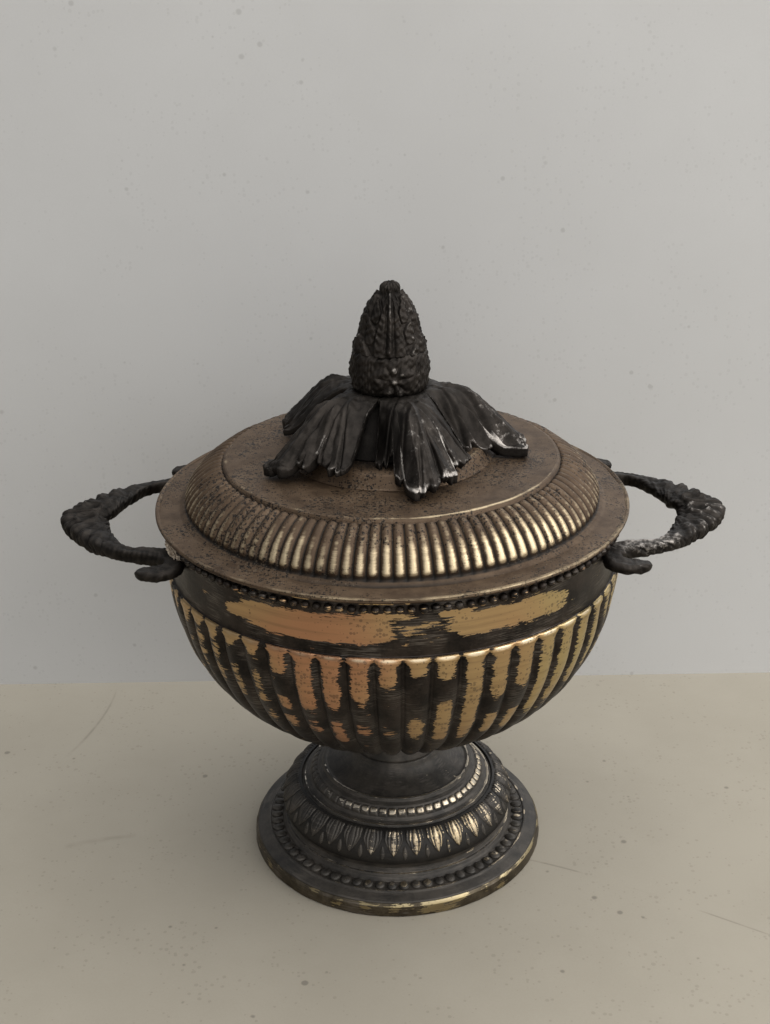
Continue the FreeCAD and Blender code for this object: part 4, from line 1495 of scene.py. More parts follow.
@dataclass
class Handle:
    """A cast loop: hooked scroll feet, slim arms and a broad leafy bow.

    The front half is given as stations from the hook's end to the outermost point. Each has a
    point on the loop's outer edge, a point on its inner edge, and half the height there.
    """

    side: Side
    height: float = 175.5
    rows: int = 460
    around: int = 56
    squareness: float = 0.62
    focus: tuple[float, float] = (128.0, 0.0)
    curl: tuple[float, float] = (142.5, 6.0)
    stations: list[tuple[float, float, float, float, float]] = field(default_factory=lambda: [
        (112.2, -57, 111.9, -60.8, 1.7), (109, -55.4, 108.6, -63, 2.2),
        (105.5, -54.2, 103.7, -64.4, 2.4), (102, -53.2, 98.4, -63.6, 2.5),
        (100.6, -51.8, 94, -60.6, 2.6), (100.6, -50, 91.4, -54.6, 2.9),
        (102, -48.8, 93, -47.2, 3.3), (104, -47.2, 97, -41.6, 3.4),
        (109, -45.4, 103.6, -38.6, 3.5), (114, -43.9, 110, -37.4, 3.3),
        (119, -42, 115.8, -37.4, 3), (125, -39.2, 120.8, -33.6, 3.1),
        (132, -34, 124.2, -27, 3.5), (140, -26, 127.6, -18.5, 3.9),
        (147, -17.5, 130.8, -10.5, 4.1), (153.2, -8, 133.2, -3.6, 4.2),
        (155.6, 0, 134.6, 0, 4.2)])

    def build(self, finishes: Finishes) -> None:
        """Builds and dresses the handle.

        Args:
            finishes: every material.
        """
        right = self.side is Side.RIGHT
        node = "handle_right" if right else "handle_left"
        piece = self.casting("handle_cast_R" if right else "handle_cast_L")
        dress(piece, finishes.cast, "cast_bronze", Body.URN, node)

    def casting(self, name: str) -> Piece:
        """The mesh: a squarish section carried along the loop, with leafwork on it.

        Args:
            name: name of the piece.

        Returns:
            The new object.
        """
        front = list(self.stations)
        back = [(ox, -oy, ix, -iy, h) for ox, oy, ix, iy, h in reversed(front[:-1])]
        line = through(front + back, 0.25)
        share = np.linspace(0, len(line) - 1, self.rows)
        line = np.stack([np.interp(share, np.arange(len(line)), line[:, k]) for k in range(5)], 1)
        outer, inner, half_height = line[:, 0:2], line[:, 2:4], line[:, 4:5]
        middle, half = (outer + inner) / 2.0, (outer - inner) / 2.0
        steps = np.concatenate([[0], np.cumsum(np.linalg.norm(np.diff(middle, axis=0), axis=1))])
        from_end = np.minimum(steps, steps[-1] - steps)
        ends = np.sqrt(np.clip(1.0 - (1.0 - np.clip(from_end / 2.2, 0, 1)) ** 2, 0.0004, 1.0))
        turn = np.linspace(0.0, math.tau, self.around, endpoint=False)[None, :]
        cos, sin = np.cos(turn), np.sin(turn)
        flat = np.sign(cos) * np.abs(cos) ** self.squareness
        rise = np.sign(sin) * np.abs(sin) ** self.squareness
        reach = np.abs(steps - steps[-1] / 2.0)[:, None]
        width = np.linalg.norm(half, axis=1, keepdims=True)
        plan_x = middle[:, 0:1] + flat * half[:, 0:1]
        plan_y = middle[:, 1:2] + flat * half[:, 1:2]
        lift, wear_and_highlight, crest = self.leafwork(plan_x, plan_y, reach, flat, rise)
        grown = ends[:, None] + lift * np.abs(flat) / width
        x = middle[:, 0:1] + flat * half[:, 0:1] * grown
        y = middle[:, 1:2] + flat * half[:, 1:2] * grown
        z = self.height + rise * half_height * ends[:, None] + lift * rise
        sign = self.side.value
        points = np.stack([sign * x, sign * y, z], axis=-1)
        return grid_object(name, points[:, ::-1], False, True,
                           {"wear_and_highlight": wear_and_highlight[:, ::-1], "crest": crest[:, ::-1]})

    def leafwork(self, x: Array, y: Array, reach: Array, flat: Array,
                 rise: Array) -> tuple[Array, Array, Array]:
        """Relief of the casting.

        Args:
            x: plan position along X.
            y: plan position along Y.
            reach: length along the loop from its outermost point.
            flat: place across the section, -1 inside to 1 outside.
            rise: place up the section, -1 below to 1 above.

        Returns:
            Lift in millimetres, the layer of wear and painted highlight, and the crest layer.
        """
        bow = 1.0 - smoothstep(30.0, 44.0, reach) + 0 * flat
        fan = np.degrees(np.arctan2(np.abs(y - self.focus[1]), x - self.focus[0]))
        leaves = np.abs(np.sin(math.pi * fan / 17.0)) ** 0.6
        veins = 0.5 + 0.5 * np.cos(math.tau * fan / 5.7)
        upper = smoothstep(-0.3, 0.5, rise)
        outer = smoothstep(-0.2, 0.8, flat)
        saw = np.abs(np.sin(math.pi * (reach + 2.0 * rise) / 2.9)) ** 0.8
        round_curl = np.hypot(x - self.curl[0], np.abs(y) - self.curl[1])
        curl = np.exp(-((round_curl - 4.6) / 1.0) ** 2) - 0.8 * np.exp(-(round_curl / 2.6) ** 2)
        curl += 0.9 * np.exp(-(round_curl / 1.1) ** 2)
        rib = np.exp(-((flat + 0.55 - 0.02 * reach) / 0.16) ** 2)
        rough = ripples(x + 0.4 * rise, y + 3.0 * rise, 3.6, 61)
        broad = ripples(x, y + 4.0 * rise, 9.0, 63)
        relief = upper * (1.7 * leaves * (0.35 + 0.65 * outer) + 0.35 * veins - 1.25
                          + 1.1 * curl + 0.7 * rib)
        relief += (1.0 - upper) * (0.9 * saw * outer - 0.5)
        arm = (1.0 - bow) * (0.55 * np.exp(-((flat + 0.75) / 0.35) ** 2) * upper - 0.1)
        lift = bow * relief * 1.25 + arm + 0.12 * rough + 0.20 * bow * broad
        crest = np.clip(0.30 + 0.40 * lift + 0.06 * rough, 0.0, 1.2)
        # painted highlight: silvery streaks on the right handle's front arm
        rub_and_highlight = 0.20 * (self.side is Side.RIGHT) * (1.0 + 1.1 * (1.0 - bow)) * (y < 0)
        rub_and_highlight = rub_and_highlight * (1.0 - 0.6 * smoothstep(44.0, 54.0, np.abs(y)))
        # wear on the raised parts, and painted highlight on the tops of the section
        wear_and_highlight = np.clip(0.06 + 0.20 * lift + 0.08 * rise + rub_and_highlight, 0.0, 1.0)
        return lift, wear_and_highlight, crest


@dataclass
class JointFiller:
    """Crumbly filler pushed into the left handle's front joint."""

    azimuth: float = -64.5
    radius: float = 107.2
    height: float = 181.0
    half_depth: float = 1.9
    half_length: float = 5.6
    half_height: float = 1.8
    sag: float = 0.25

    def build(self, finishes: Finishes) -> None:
        """Builds and dresses the lump.

        Args:
            finishes: every material.
        """
        lat = np.linspace(0.02, math.pi - 0.02, 40)[:, None]
        lon = np.linspace(0.0, math.tau, 60, endpoint=False)[None, :]
        a, b = np.sin(lat) * np.cos(lon), np.sin(lat) * np.sin(lon)
        c = np.cos(lat) + 0 * lon
        size = 1.0 + 0.20 * ripples(a * 6, b * 6 + c * 4, 3.0, 71)
        size += 0.10 * ripples(a * 14, c * 14, 3.0, 73)
        turn = math.radians(self.azimuth)
        out, side = a * size * self.half_depth, b * size * self.half_length
        level = c * size * self.half_height - self.sag * side
        reach = self.radius + out
        points = np.stack([reach * math.sin(turn) + side * math.cos(turn),
                           -reach * math.cos(turn) + side * math.sin(turn),
                           self.height + level], axis=-1)
        piece = grid_object("joint_filler", points[::-1], False, True, {})
        dress(piece, finishes.filler, "cast_bronze", Body.URN)


# ---- lid


@dataclass
class Lid:
    """The lid: flange with rolled edge, reeded dome, flat disc and raised boss."""

    reeds: int = 108
    reed_depth: float = 1.7
    boss_radius: float = 46.6
    steps_per_reed: int = 13
    edge_columns: int = 360
    boss_columns: int = 240

    def build(self, finishes: Finishes) -> None:
        """Builds and dresses every piece of the lid.

        Args:
            finishes: every material.
        """
        dress(self.shell(), finishes.lid, "lid_bronze", Body.LID, "lid_shell")
        dress(self.edge_wire(), finishes.lid, "lid_bronze", Body.LID, "lid_rim_wire")
        dress(self.boss(), finishes.lid, "lid_bronze", Body.LID, "lid_boss")

    def shell(self) -> Piece:
        """The spun lid without its edge wire.

        Returns:
            The new object.
        """
        low, high = node_box("lid_shell")
        bottom, top = low[2], high[2]
        flange = rounded([(108, bottom, 0), (108.4, bottom + 0.5, 0.2),
                          (108, bottom + 1.15, 0.3), (103, bottom + 1.3, 3),
                          (98.6, bottom + 1.5, 1.2), (97.2, bottom + 2.4, 0.7),
                          (96.9, bottom + 3.2, 0.4)], 1.2)
        dome = through([(96.9, bottom + 3.2), (96.3, 190.4), (94.6, 194), (91.6, 198.2),
                        (87, 202.2), (82.4, 205), (78.4, 206.4)], 0.9)
        disc = rounded([(78.4, 206.4, 0), (77.6, 206.3, 0.3), (77, top - 0.25, 0.35),
                        (76, top, 0.5), (70, top - 0.15, 3), (3, top - 0.1, 0)], 1.6)
        inner = joined(rounded([(3, top - 0.1, 0), (3, top - 1.4, 0.2),
                                (70, top - 1.4, 0)], 6),
                       through([(70, top - 1.4), (80, 202.6), (89, 195.4),
                                (94.6, 188), (95.6, bottom)], 5),
                       rounded([(95.6, bottom, 0), (108, bottom, 0)], 3))
        outside = joined(flange, dome, disc)
        profile = joined(outside, inner)[:-1]
        first, last = len(flange), len(joined(flange, dome))
        skin = len(outside)

        def relief(rows: Array, z: Array, azimuth: Array) -> tuple[Array, Layers]:
            """Reeds on the dome, slight dents, painted shade in the cove, and wear with painted
            highlight low on the reeds and on the disc's edge.

            Args:
                rows: row numbers.
                z: heights.
                azimuth: azimuths in degrees.

            Returns:
                The movement outwards, and the layers.
            """
            up = np.clip((rows - first) / (last - first), 0.0, 1.0)
            on_dome = (rows >= first - 1) & (rows <= last + 1)
            side = np.abs(2.0 * ((azimuth * self.reeds / 360.0) % 1.0) - 1.0)
            lobe = np.clip(1.0 - side**2.0, 0.0, 1.0) ** 0.75
            ends = smoothstep(0.0, 0.09, up) * (1.0 - smoothstep(0.94, 1.0, up))
            moved = np.where(on_dome, -self.reed_depth * (1.0 - lobe * (0.35 + 0.65 * ends)), 0.0)
            dents = 0.10 * ripples(azimuth * 1.6, profile[:, :1] + 0 * z, 30.0, 81)
            moved = moved + np.where(rows < skin, dents, 0.0)
            # painted shade in the cove at the foot of the dome, deepest at the front
            cove_shade = bump(98.4, 3.4, profile[:, :1] + 0 * z) * (z < 189.6)
            cove_shade = cove_shade * (0.35 + 0.65 * bump(0.0, 60.0, azimuth))
            # a low crest in the grooves between the reeds gives painted shade
            crest = np.where(on_dome, 0.04 + 0.90 * lobe * (0.25 + 0.75 * ends),
                             0.85 - 0.62 * cove_shade)
            crest = np.where(rows < skin, crest, 0.8)
            # lit: where highlights are painted on the reeds, mostly on the right-hand front
            lit = np.maximum(bump(36.0, 42.0, azimuth), 0.72 * bump(-29.0, 17.0, azimuth))
            lit = np.maximum(lit, 0.30 + 0.45 * bump(3.0, 30.0, azimuth))
            lower = 1.0 - smoothstep(0.10, 0.80, up)
            wear_and_highlight = np.where(on_dome, lobe**3 * ends * (0.16 + 0.80 * lower * lit
                                                      + 0.20 * lit), 0.04)
            # painted highlight on the disc's edge, strongest on the right-hand front
            edge = bump(76.3, 1.1, profile[:, :1] + 0 * z) * (rows < skin) * (z > 200.0)
            wear_and_highlight = np.maximum(wear_and_highlight, edge * (0.35 + 0.55 * bump(28.0, 50.0, azimuth)))
            return moved, {"wear_and_highlight": wear_and_highlight, "crest": crest}

        return lathed("lid_dome", profile, self.reeds * self.steps_per_reed, True, relief)

    def edge_wire(self) -> Piece:
        """The rolled edge: a wire with a fine groove above it.

        Returns:
            The new object.
        """
        low, high = node_box("lid_rim_wire")
        middle = (low[2] + high[2]) / 2.0
        profile = rounded([(107.7, middle - 0.9, 0), (109.3, middle - 1, 0.5),
                           (109.8, middle - 0.3, 0.4), (109.5, middle + 0.1, 0.15),
                           (109.75, middle + 0.45, 0.3), (109.2, middle + 0.95, 0.4),
                           (108.5, middle + 0.85, 0.2), (108.1, middle + 0.62, 0.1),
                           (107.7, middle + 0.7, 0), (107.7, middle - 0.9, 0)], 0.4)[:-1]

        def relief(rows: Array, z: Array, azimuth: Array) -> tuple[Array, Layers]:
            """Wear along the wire, with a painted highlight along its top that is strongest on the
            right-hand front.
            """
            lit = 0.25 + 0.75 * bump(30.0, 70.0, azimuth)
            wear_and_highlight = 0.18 + 0.30 * lit * smoothstep(middle - 0.6, middle + 0.7, z)
            return np.zeros_like(z), {"wear_and_highlight": wear_and_highlight, "crest": 0.75 + 0 * z}

        return lathed("lid_edge", profile, self.edge_columns, True, relief)

    def boss(self) -> Piece:
        """The raised cap under the leaves.

        Returns:
            The new object.
        """
        low, high = node_box("lid_boss")
        base, top, r = low[2] - 0.1, high[2], self.boss_radius
        profile = rounded([(r + 0.8, base, 0), (r - 0.4, base + 0.6, 0.8),
                           (r - 3.6, top - 0.6, 2.0), (r - 6.4, top, 2.0), (3.0, top, 0.2),
                           (3, top - 1, 0.2), (r - 8, top - 1, 1),
                           (r - 5.0, base, 0.2), (r + 0.8, base, 0)], 1.6)[:-1]

        def relief(rows: Array, z: Array, azimuth: Array) -> tuple[Array, Layers]:
            """A painted highlight on the edge of the cap, strongest on the right, and painted
            shadow of the leaves over its middle.
            """
            edge = bump(r - 5.0, 1.6, profile[:, :1] + 0 * z) * (z > top - 1.4)
            # painted shadow of the leaves over the middle of the cap
            near = 1.0 - smoothstep(32.0, 44.0, profile[:, :1] + 0 * z)
            return np.zeros_like(z), {
                "wear_and_highlight": 0.03 + 0.42 * edge * bump(60.0, 70.0, azimuth),
                "crest": 0.55 - 0.30 * near}

        return lathed("lid_cap", profile, self.boss_columns, True, relief)


# ---- rosette and finial


@dataclass(frozen=True)
class Lobe:
    """One finger of a leaf: where it points, how far it reaches and how wide it is."""

    offset_deg: float
    reach: float
    half_deg: float


@dataclass
class Rosette:
    """Five drooping acanthus leaves cast in one piece."""

    azimuths: tuple[float, ...] = (20.0, 92.0, 165.0, -123.0, -53.0)
    hub_radius: float = 15.0
    thickness: float = 3.6
    columns: int = 1200
    rows: int = 64
    hub_columns: int = 200
    lobes: list[Lobe] = field(default_factory=lambda: [
        Lobe(-25.5, 37.5, 7.4), Lobe(-15.2, 47, 4.6), Lobe(-9.2, 62.5, 4.6),
        Lobe(-2.4, 60, 4.8), Lobe(6, 54.5, 5.6), Lobe(15.4, 48.5, 4.8),
        Lobe(23.6, 50.5, 5.8)])

    def build(self, finishes: Finishes) -> None:
        """Builds and dresses the leaves and their hub.

        Args:
            finishes: every material.
        """
        dress(self.casting(), finishes.cast, "cast_bronze", Body.LID, "leaf_rosette")
        dress(self.hub(), finishes.cast, "cast_bronze", Body.LID, "leaf_rosette")

    def local_angle(self, azimuth: Array) -> tuple[Array, Array]:
        """Angle of each azimuth from its own leaf's axis.

        Args:
            azimuth: azimuths in degrees.

        Returns:
            The angle from the nearest leaf axis, and that leaf's number.
        """
        away = np.stack([wrapped(azimuth - axis) for axis in self.azimuths])
        number = np.argmin(np.abs(away), axis=0)
        return np.take_along_axis(away, number[None, :], axis=0)[0], number

    @staticmethod
    def web(local: Array) -> Array:
        """How far the leaf reaches between its lobes.

        Args:
            local: angles from the leaf's axis in degrees.

        Returns:
            The reach in millimetres.
        """
        return np.interp(local, [-36, -33, -30, -19.5, -12, -6, 1.5, 10, 20, 30, 34, 36],
                         [18, 20, 27, 30, 40, 49, 45, 39, 37, 30, 22, 18])

    def outline(self, local: Array, number: Array) -> Array:
        """How far the casting reaches at each angle.

        Args:
            local: angles from the leaf's axis in degrees.
            number: number of the leaf.

        Returns:
            The reach in millimetres.
        """
        web = self.web(local)
        reach = web
        for index, lobe in enumerate(self.lobes):
            vary = np.sin(number * 2.3 + index * 1.9)
            near = np.abs(local - lobe.offset_deg - 0.9 * vary) / lobe.half_deg
            blunt = np.clip(1.0 - near**4.5, 0.0, 1.0) ** 0.3
            finger = web - 2.0 + (lobe.reach + 1.3 * vary - web + 2.0) * blunt
            reach = np.maximum(reach, np.where(near < 1.0, finger, 0.0))
        notch = 2.4 * np.exp(-((local + 25.5) / 1.0) ** 2)
        notch += 2.6 * np.exp(-((local - 24.0) / 1.0) ** 2)
        notch += 1.6 * np.exp(-((local - 6.2) / 0.8) ** 2)
        teeth = 1.5 * np.abs(np.sin(np.radians(180.0 * (local + 0.7 * number) / 4.3)))
        return reach - notch + teeth - 0.9

    @staticmethod
    def branch(across: Array, along: Array, root: float, angle_deg: float,
               length: float) -> tuple[Array, Array]:
        """Places every point against a line that leaves the midrib for the leaf's margin.

        Args:
            across: distance of each point from the midrib.
            along: distance of each point along the midrib, from the hub's axis.
            root: where on the midrib the line starts.
            angle_deg: direction of the line's end from the hub's axis.
            length: distance of the line's end from the hub's axis.

        Returns:
            How far along the line a point lies, 0 to 1, and how far beside it in millimetres.
        """
        end_across = length * math.sin(math.radians(angle_deg))
        end_along = length * math.cos(math.radians(angle_deg)) - root
        whole = math.hypot(end_across, end_along)
        ahead = (across * end_across + (along - root) * end_along) / whole
        beside = (across * end_along - (along - root) * end_across) / whole
        return ahead / whole, beside

    def carving(self, local: Array, radius: Array) -> Array:
        """Swelling lobes, veins and clefts that branch from the midrib of a leaf.

        Args:
            local: angles from the leaf's axis in degrees.
            radius: distances from the hub's axis.

        Returns:
            Height of the carving in millimetres.
        """
        across, along = radius * np.sin(np.radians(local)), radius * np.cos(np.radians(local))
        folds, veins, clefts = (np.zeros_like(radius) for _ in range(3))
        for lobe in self.lobes:
            side = abs(lobe.offset_deg)
            root = 16.0 if side < 4.0 else max(18.0, 46.0 - 1.15 * side)
            share, beside = self.branch(across, along, root, lobe.offset_deg, lobe.reach)
            grow = smoothstep(-0.05, 0.35, share)
            width = 1.5 + 3.0 * np.clip(share, 0.0, 1.0)
            folds = np.maximum(folds, grow * np.exp(-(beside / width) ** 2))
            veins = np.maximum(veins, grow * np.exp(-(beside / 0.45) ** 2))
        for first, second in zip(self.lobes, self.lobes[1:]):
            middle = 0.5 * (first.offset_deg + second.offset_deg)
            notch = float(self.web(np.array([middle]))[0])
            root = max(16.0, notch - 16.0)
            share, beside = self.branch(across, along, root, middle, notch)
            clefts += smoothstep(0.1, 1.0, share) * np.exp(-(beside / 0.8) ** 2)
        body = smoothstep(18.0, 28.0, radius)
        camber = 2.8 * (1.0 - (local / 26.0) ** 2) * smoothstep(20.0, 38.0, radius)
        return body * (1.7 * folds + 0.35 * veins + camber - 1.6 * clefts - 1.7)

    def casting(self) -> Piece:
        """The leaves: a sheet that humps over and droops, with carving and thick blunt edges.

        Returns:
            The new object.
        """
        crown = node_box("finial_cup")[0][2]
        azimuth = np.arange(self.columns) * 360.0 / self.columns
        local, number = self.local_angle(azimuth)
        reach = self.outline(local, number)
        full = np.interp(local, [-36, -25, -14, -8, -3, 5, 15, 25, 36],
                         [31, 36.5, 50, 62, 60.5, 56, 50, 49.5, 42])
        tip_drop = np.interp(local, [-36, -25, -8, 5, 25, 36], [18, 22.5, 26.3, 24, 21, 18])
        share = np.linspace(0.0, 1.0, self.rows)[:, None] ** 0.92
        radius = self.hub_radius + (reach - self.hub_radius)[None, :] * share
        along = (radius - self.hub_radius) / (full - self.hub_radius)[None, :]
        fall = np.interp(along, [0.0, 0.10, 0.25, 0.38, 0.52, 0.66, 0.80, 0.92, 1.0],
                         [-0.05, -0.08, -0.06, 0.03, 0.22, 0.46, 0.72, 0.92, 1.0])
        wave = np.sin(np.radians(number * 80.0))[None, :]
        level = crown - fall * tip_drop[None, :] * (1.0 + 0.03 * wave)
        arc = np.radians(azimuth)[None, :]
        rough = ripples(radius * np.sin(arc), radius * np.cos(arc), 3.4, 91)
        edge = smoothstep(0.94, 1.0, share)
        lift = self.carving(local[None, :], radius) * (1.0 - 0.5 * edge) + 0.13 * rough
        slope = np.gradient(level, axis=0) / np.maximum(np.gradient(radius, axis=0), 0.05)
        tilt = np.arctan(slope)
        out_r, out_z = -np.sin(tilt), np.cos(tilt)
        top_r, top_z = radius + lift * out_r, level + lift * out_z
        low_r, low_z = radius - self.thickness * out_r, level - self.thickness * out_z
        low_r = np.maximum(low_r, self.hub_radius - 3.0)
        rows_r = np.concatenate([low_r[::3], low_r[-1:], top_r[-1:] + 0.4, top_r[::-1]])
        rows_z = np.concatenate([low_z[::3], low_z[-1:] + 0.2, top_z[-1:] - 0.8, top_z[::-1]])
        rows_z = np.maximum(rows_z, node_box("lid_shell")[1][2] + 0.3)
        points = np.stack([rows_r * np.sin(arc), -rows_r * np.cos(arc), rows_z], axis=-1)
        drops = np.abs(np.gradient(reach)) > 1.2
        margin = np.maximum(edge, drops[None, :] * smoothstep(0.5, 0.9, share))
        # painted light, strongest on the right-hand front: it scales the wear and painted
        # highlights and lightens the crest
        lit = 0.75 + 0.35 * np.cos(arc - 1.0)
        relief = np.clip(lift - ripples(radius * np.sin(arc), radius * np.cos(arc), 14.0, 93)
                         - 0.8, -1.0, 1.2)
        top_wear_and_highlight = np.clip(lit * (0.22 + 0.16 * relief * smoothstep(0.15, 0.5, share)
                                  + 0.42 * margin), 0.0, 1.0)
        crest_top = np.clip(0.46 + 0.12 * lit + 0.34 * relief + 0.2 * margin, 0.0, 1.2)
        under = np.zeros((len(rows_r) - self.rows, self.columns))
        lip = len(under) - 1
        wear_and_highlight = np.concatenate([under + 0.05, top_wear_and_highlight[::-1]])
        wear_and_highlight[lip] = 0.42
        # the underside gets a low crest: painted shade under the leaves
        crest = np.concatenate([under + 0.15, crest_top[::-1]])
        crest[lip] = 0.7
        return grid_object("leaf_cluster", points, True, True, {"wear_and_highlight": wear_and_highlight, "crest": crest})

    def hub(self) -> Piece:
        """The bell under the leaves that stands on the lid's cap.

        Returns:
            The new object.
        """
        base = node_box("lid_boss")[1][2]
        crown = node_box("finial_cup")[0][2]
        profile = joined(
            through([(30.5, base), (27, base + 6), (20, base + 15), (16, crown - 1)],
                    1.2),
            rounded([(16, crown - 1, 0), (12, crown - 1, 0.3), (22, base + 6, 2),
                     (26.5, base, 0.3), (30.5, base, 0)], 3))[:-1]

        def relief(rows: Array, z: Array, azimuth: Array) -> tuple[Array, Layers]:
            """Two soft folds for each leaf, and a low crest all over: painted shade under the
            leaves.
            """
            folds = 0.8 * np.cos(np.radians(azimuth * 2 * len(self.azimuths)))
            return folds, {"wear_and_highlight": 0.05 + 0 * z, "crest": 0.05 + 0 * z}

        return lathed("leaf_hub", profile, self.hub_columns, True, relief)


@dataclass(frozen=True)
class Bract:
    """One scale of the bud: its middle, its foot and tip heights, half width and depth."""

    azimuth: float
    foot: float
    tip: float
    half_deg: float
    depth: float

    def lift(self, azimuth: Array, z: Array) -> Array:
        """Height of the scale over the bud's core, with a rib and slanting veins.

        Args:
            azimuth: azimuths in degrees.
            z: heights.

        Returns:
            The height in millimetres.
        """
        up = np.clip((z - self.foot) / (self.tip - self.foot), 0.0, 1.0)
        side = np.abs(wrapped(azimuth - self.azimuth)) / self.half_deg
        width = np.sqrt(np.clip(1.0 - up**2.6, 0.0, 1.0)) * (0.80 + 0.20 * bump(0.4, 0.5, up))
        inside = smoothstep(0.0, 0.12, width - side) * (z > self.foot)
        rib = np.exp(-(side / 0.13) ** 2)
        groove = np.exp(-((side - 0.24) / 0.10) ** 2)
        vein = np.cos(math.tau * ((z - self.foot) / 3.3 - side * 1.3)) * (side > 0.2)
        border = np.exp(-((width - side) / 0.10) ** 2)
        shape = 0.50 + 0.36 * up + 0.34 * rib - 0.30 * groove + 0.085 * vein + 0.16 * border
        return inside * self.depth * shape


@dataclass
class Finial:
    """The bud on top: a squarish cup with scrollwork and a cone of overlapping bracts."""

    columns: int = 360
    lean_mm: float = 0.6
    bracts: list[Bract] = field(default_factory=lambda: [
        Bract(0, 252, 285, 30, 2.6), Bract(180, 252, 285, 30, 2.6),
        Bract(66, 248, 265.5, 40, 2.3), Bract(-66, 248, 265.5, 40, 2.3),
        Bract(64, 262.5, 274.5, 40, 2.1), Bract(-64, 262.5, 274.5, 40, 2.1),
        Bract(58, 271.5, 282.4, 40, 1.9), Bract(-58, 271.5, 282.4, 40, 1.9),
        Bract(120, 262.5, 274.5, 36, 2.1), Bract(-120, 262.5, 274.5, 36, 2.1),
        Bract(125, 271.5, 282.4, 40, 1.9), Bract(-125, 271.5, 282.4, 40, 1.9)])

    def build(self, finishes: Finishes) -> None:
        """Builds and dresses the cup and the bud.

        Args:
            finishes: every material.
        """
        dress(self.cup(), finishes.cast, "cast_bronze", Body.LID, "finial_cup")
        dress(self.bud(), finishes.cast, "cast_bronze", Body.LID, "finial_bud")

    def cup(self) -> Piece:
        """The lower cup.

        Returns:
            The new object.
        """
        low, high = node_box("finial_cup")
        z0, z1 = low[2] + 0.4, high[2] + 1.0
        outside = rounded([(12, z0, 0), (16.6, z0 + 0.1, 1.2), (18.3, z0 + 3, 2.6),
                           (18.5, z0 + 10, 8), (17.9, z1 - 1.6, 3), (16.2, z1 + 0.3, 1.4),
                           (12, z1 + 0.3, 0)], 0.45)
        profile = joined(outside, rounded([(12, z1 + 0.3, 0), (12, z0, 0)], 4))[:-1]
        skin = len(outside)

        def relief(rows: Array, z: Array, azimuth: Array) -> tuple[Array, Layers]:
            """A flower between small buds on each face, and fine lines at the corners; the front
            flower is worn and the right side has a painted highlight.

            Args:
                rows: row numbers.
                z: heights.
                azimuth: azimuths in degrees.

            Returns:
                The movement outwards, and the layers.
            """
            up = np.clip((z - z0) / (z1 - z0), 0.0, 1.0)
            panel = wrapped((azimuth - 5.0) * 3.0) / 3.0
            across = panel * 0.32
            level = (up - 0.42) * (z1 - z0)
            away = np.hypot(across / 1.15, level)
            spin = np.degrees(np.arctan2(across, level))
            petals = np.abs(np.cos(np.radians(spin * 3.5))) ** 0.7
            flower = petals * bump(5.2, 4.6, away) + 1.1 * np.exp(-(away / 1.6) ** 2)
            buds = np.exp(-((np.abs(across) - 8.4) ** 2 + (level - 2.0) ** 2) / 6.0)
            lines = np.abs(np.sin(math.pi * azimuth / 5.0)) ** 0.8
            side_lines = lines * smoothstep(26.0, 34.0, np.abs(panel))
            side_lines = side_lines * (1 - smoothstep(0.80, 0.95, up))
            hoop = np.exp(-((up - 0.88) / 0.05) ** 2)
            rough = ripples(azimuth * 0.31, z, 3.0, 101)
            body = (rows < skin) & (profile[:, :1] + 0 * z > 14.8)
            corner = 0.5 - 0.5 * np.cos(np.radians(azimuth - 35.0) * 4.0)
            lift = 1.35 * flower + 1.0 * buds + 0.32 * side_lines + 0.16 * hoop + 0.16 * rough
            lift = np.where(body, lift, 0.0)
            # wear on the front flower, and painted highlight on the right side
            cup_wear_and_highlight = bump(6.0, 22.0, azimuth) * 0.30 * flower + 0.26 * bump(48.0, 26.0, azimuth)
            return lift - 0.75 - 0.6 * corner, {
                "wear_and_highlight": np.clip(0.08 + 0.17 * lift + cup_wear_and_highlight, 0, 1),
                "crest": np.clip(0.42 + 0.40 * lift, 0.0, 1.2)}

        return lathed("finial_base", profile, self.columns, True, relief)

    def bud(self) -> Piece:
        """The cone of bracts with its knob.

        Returns:
            The new object.
        """
        low, high = node_box("finial_bud")
        z0, z1 = low[2], high[2]
        outside = through([(15.6, z0), (15, z0 + 3.5), (13.2, z0 + 8.3), (12, z0 + 13),
                           (10.6, z0 + 17.5), (8.2, z0 + 21.5), (5.8, z0 + 24.4),
                           (4.5, z0 + 26.4), (4.3, z0 + 28.4), (2.8, z1 - 0.7), (0.3, z1 - 0.3)],
                          0.4)
        profile = joined(outside, rounded([(0.3, z1 - 0.3, 0), (0.3, z0, 0), (15.6, z0, 0)],
                                          4.0))[:-1]
        skin = len(outside)

        def relief(rows: Array, z: Array, azimuth: Array) -> tuple[Array, Layers]:
            """The highest bract at each point, with a rough skin and a painted highlight on the
            right side.

            Args:
                rows: row numbers.
                z: heights.
                azimuth: azimuths in degrees.

            Returns:
                The movement outwards, and the layers.
            """
            lift = np.maximum.reduce([bract.lift(azimuth, z) for bract in self.bracts])
            rough = ripples(azimuth * 0.22, z, 2.6, 103)
            fade = (1.0 - smoothstep(z0 + 25.0, z0 + 27.0, z)) * (rows < skin)
            lift = lift * fade + 0.14 * rough * (rows < skin)
            # painted highlight on the right side of the bud
            bud_highlight = 0.20 * bump(46.0, 24.0, azimuth) * fade
            return lift - 0.5 * fade, {"wear_and_highlight": np.clip(0.05 + 0.15 * lift + bud_highlight, 0, 1),
                                       "crest": np.clip(0.30 + 0.32 * lift, 0, 1.2)}

        made = lathed("finial_cone", profile, self.columns, True, relief)
        lean = Matrix.Identity(4)
        lean[0][2] = self.lean_mm / (z1 - z0)
        lift_off = Matrix.Translation(Vector((0, 0, z0 * MM)))
        made.data.transform(lift_off @ lean @ lift_off.inverted())
        return made


# ---- inner pieces and stage


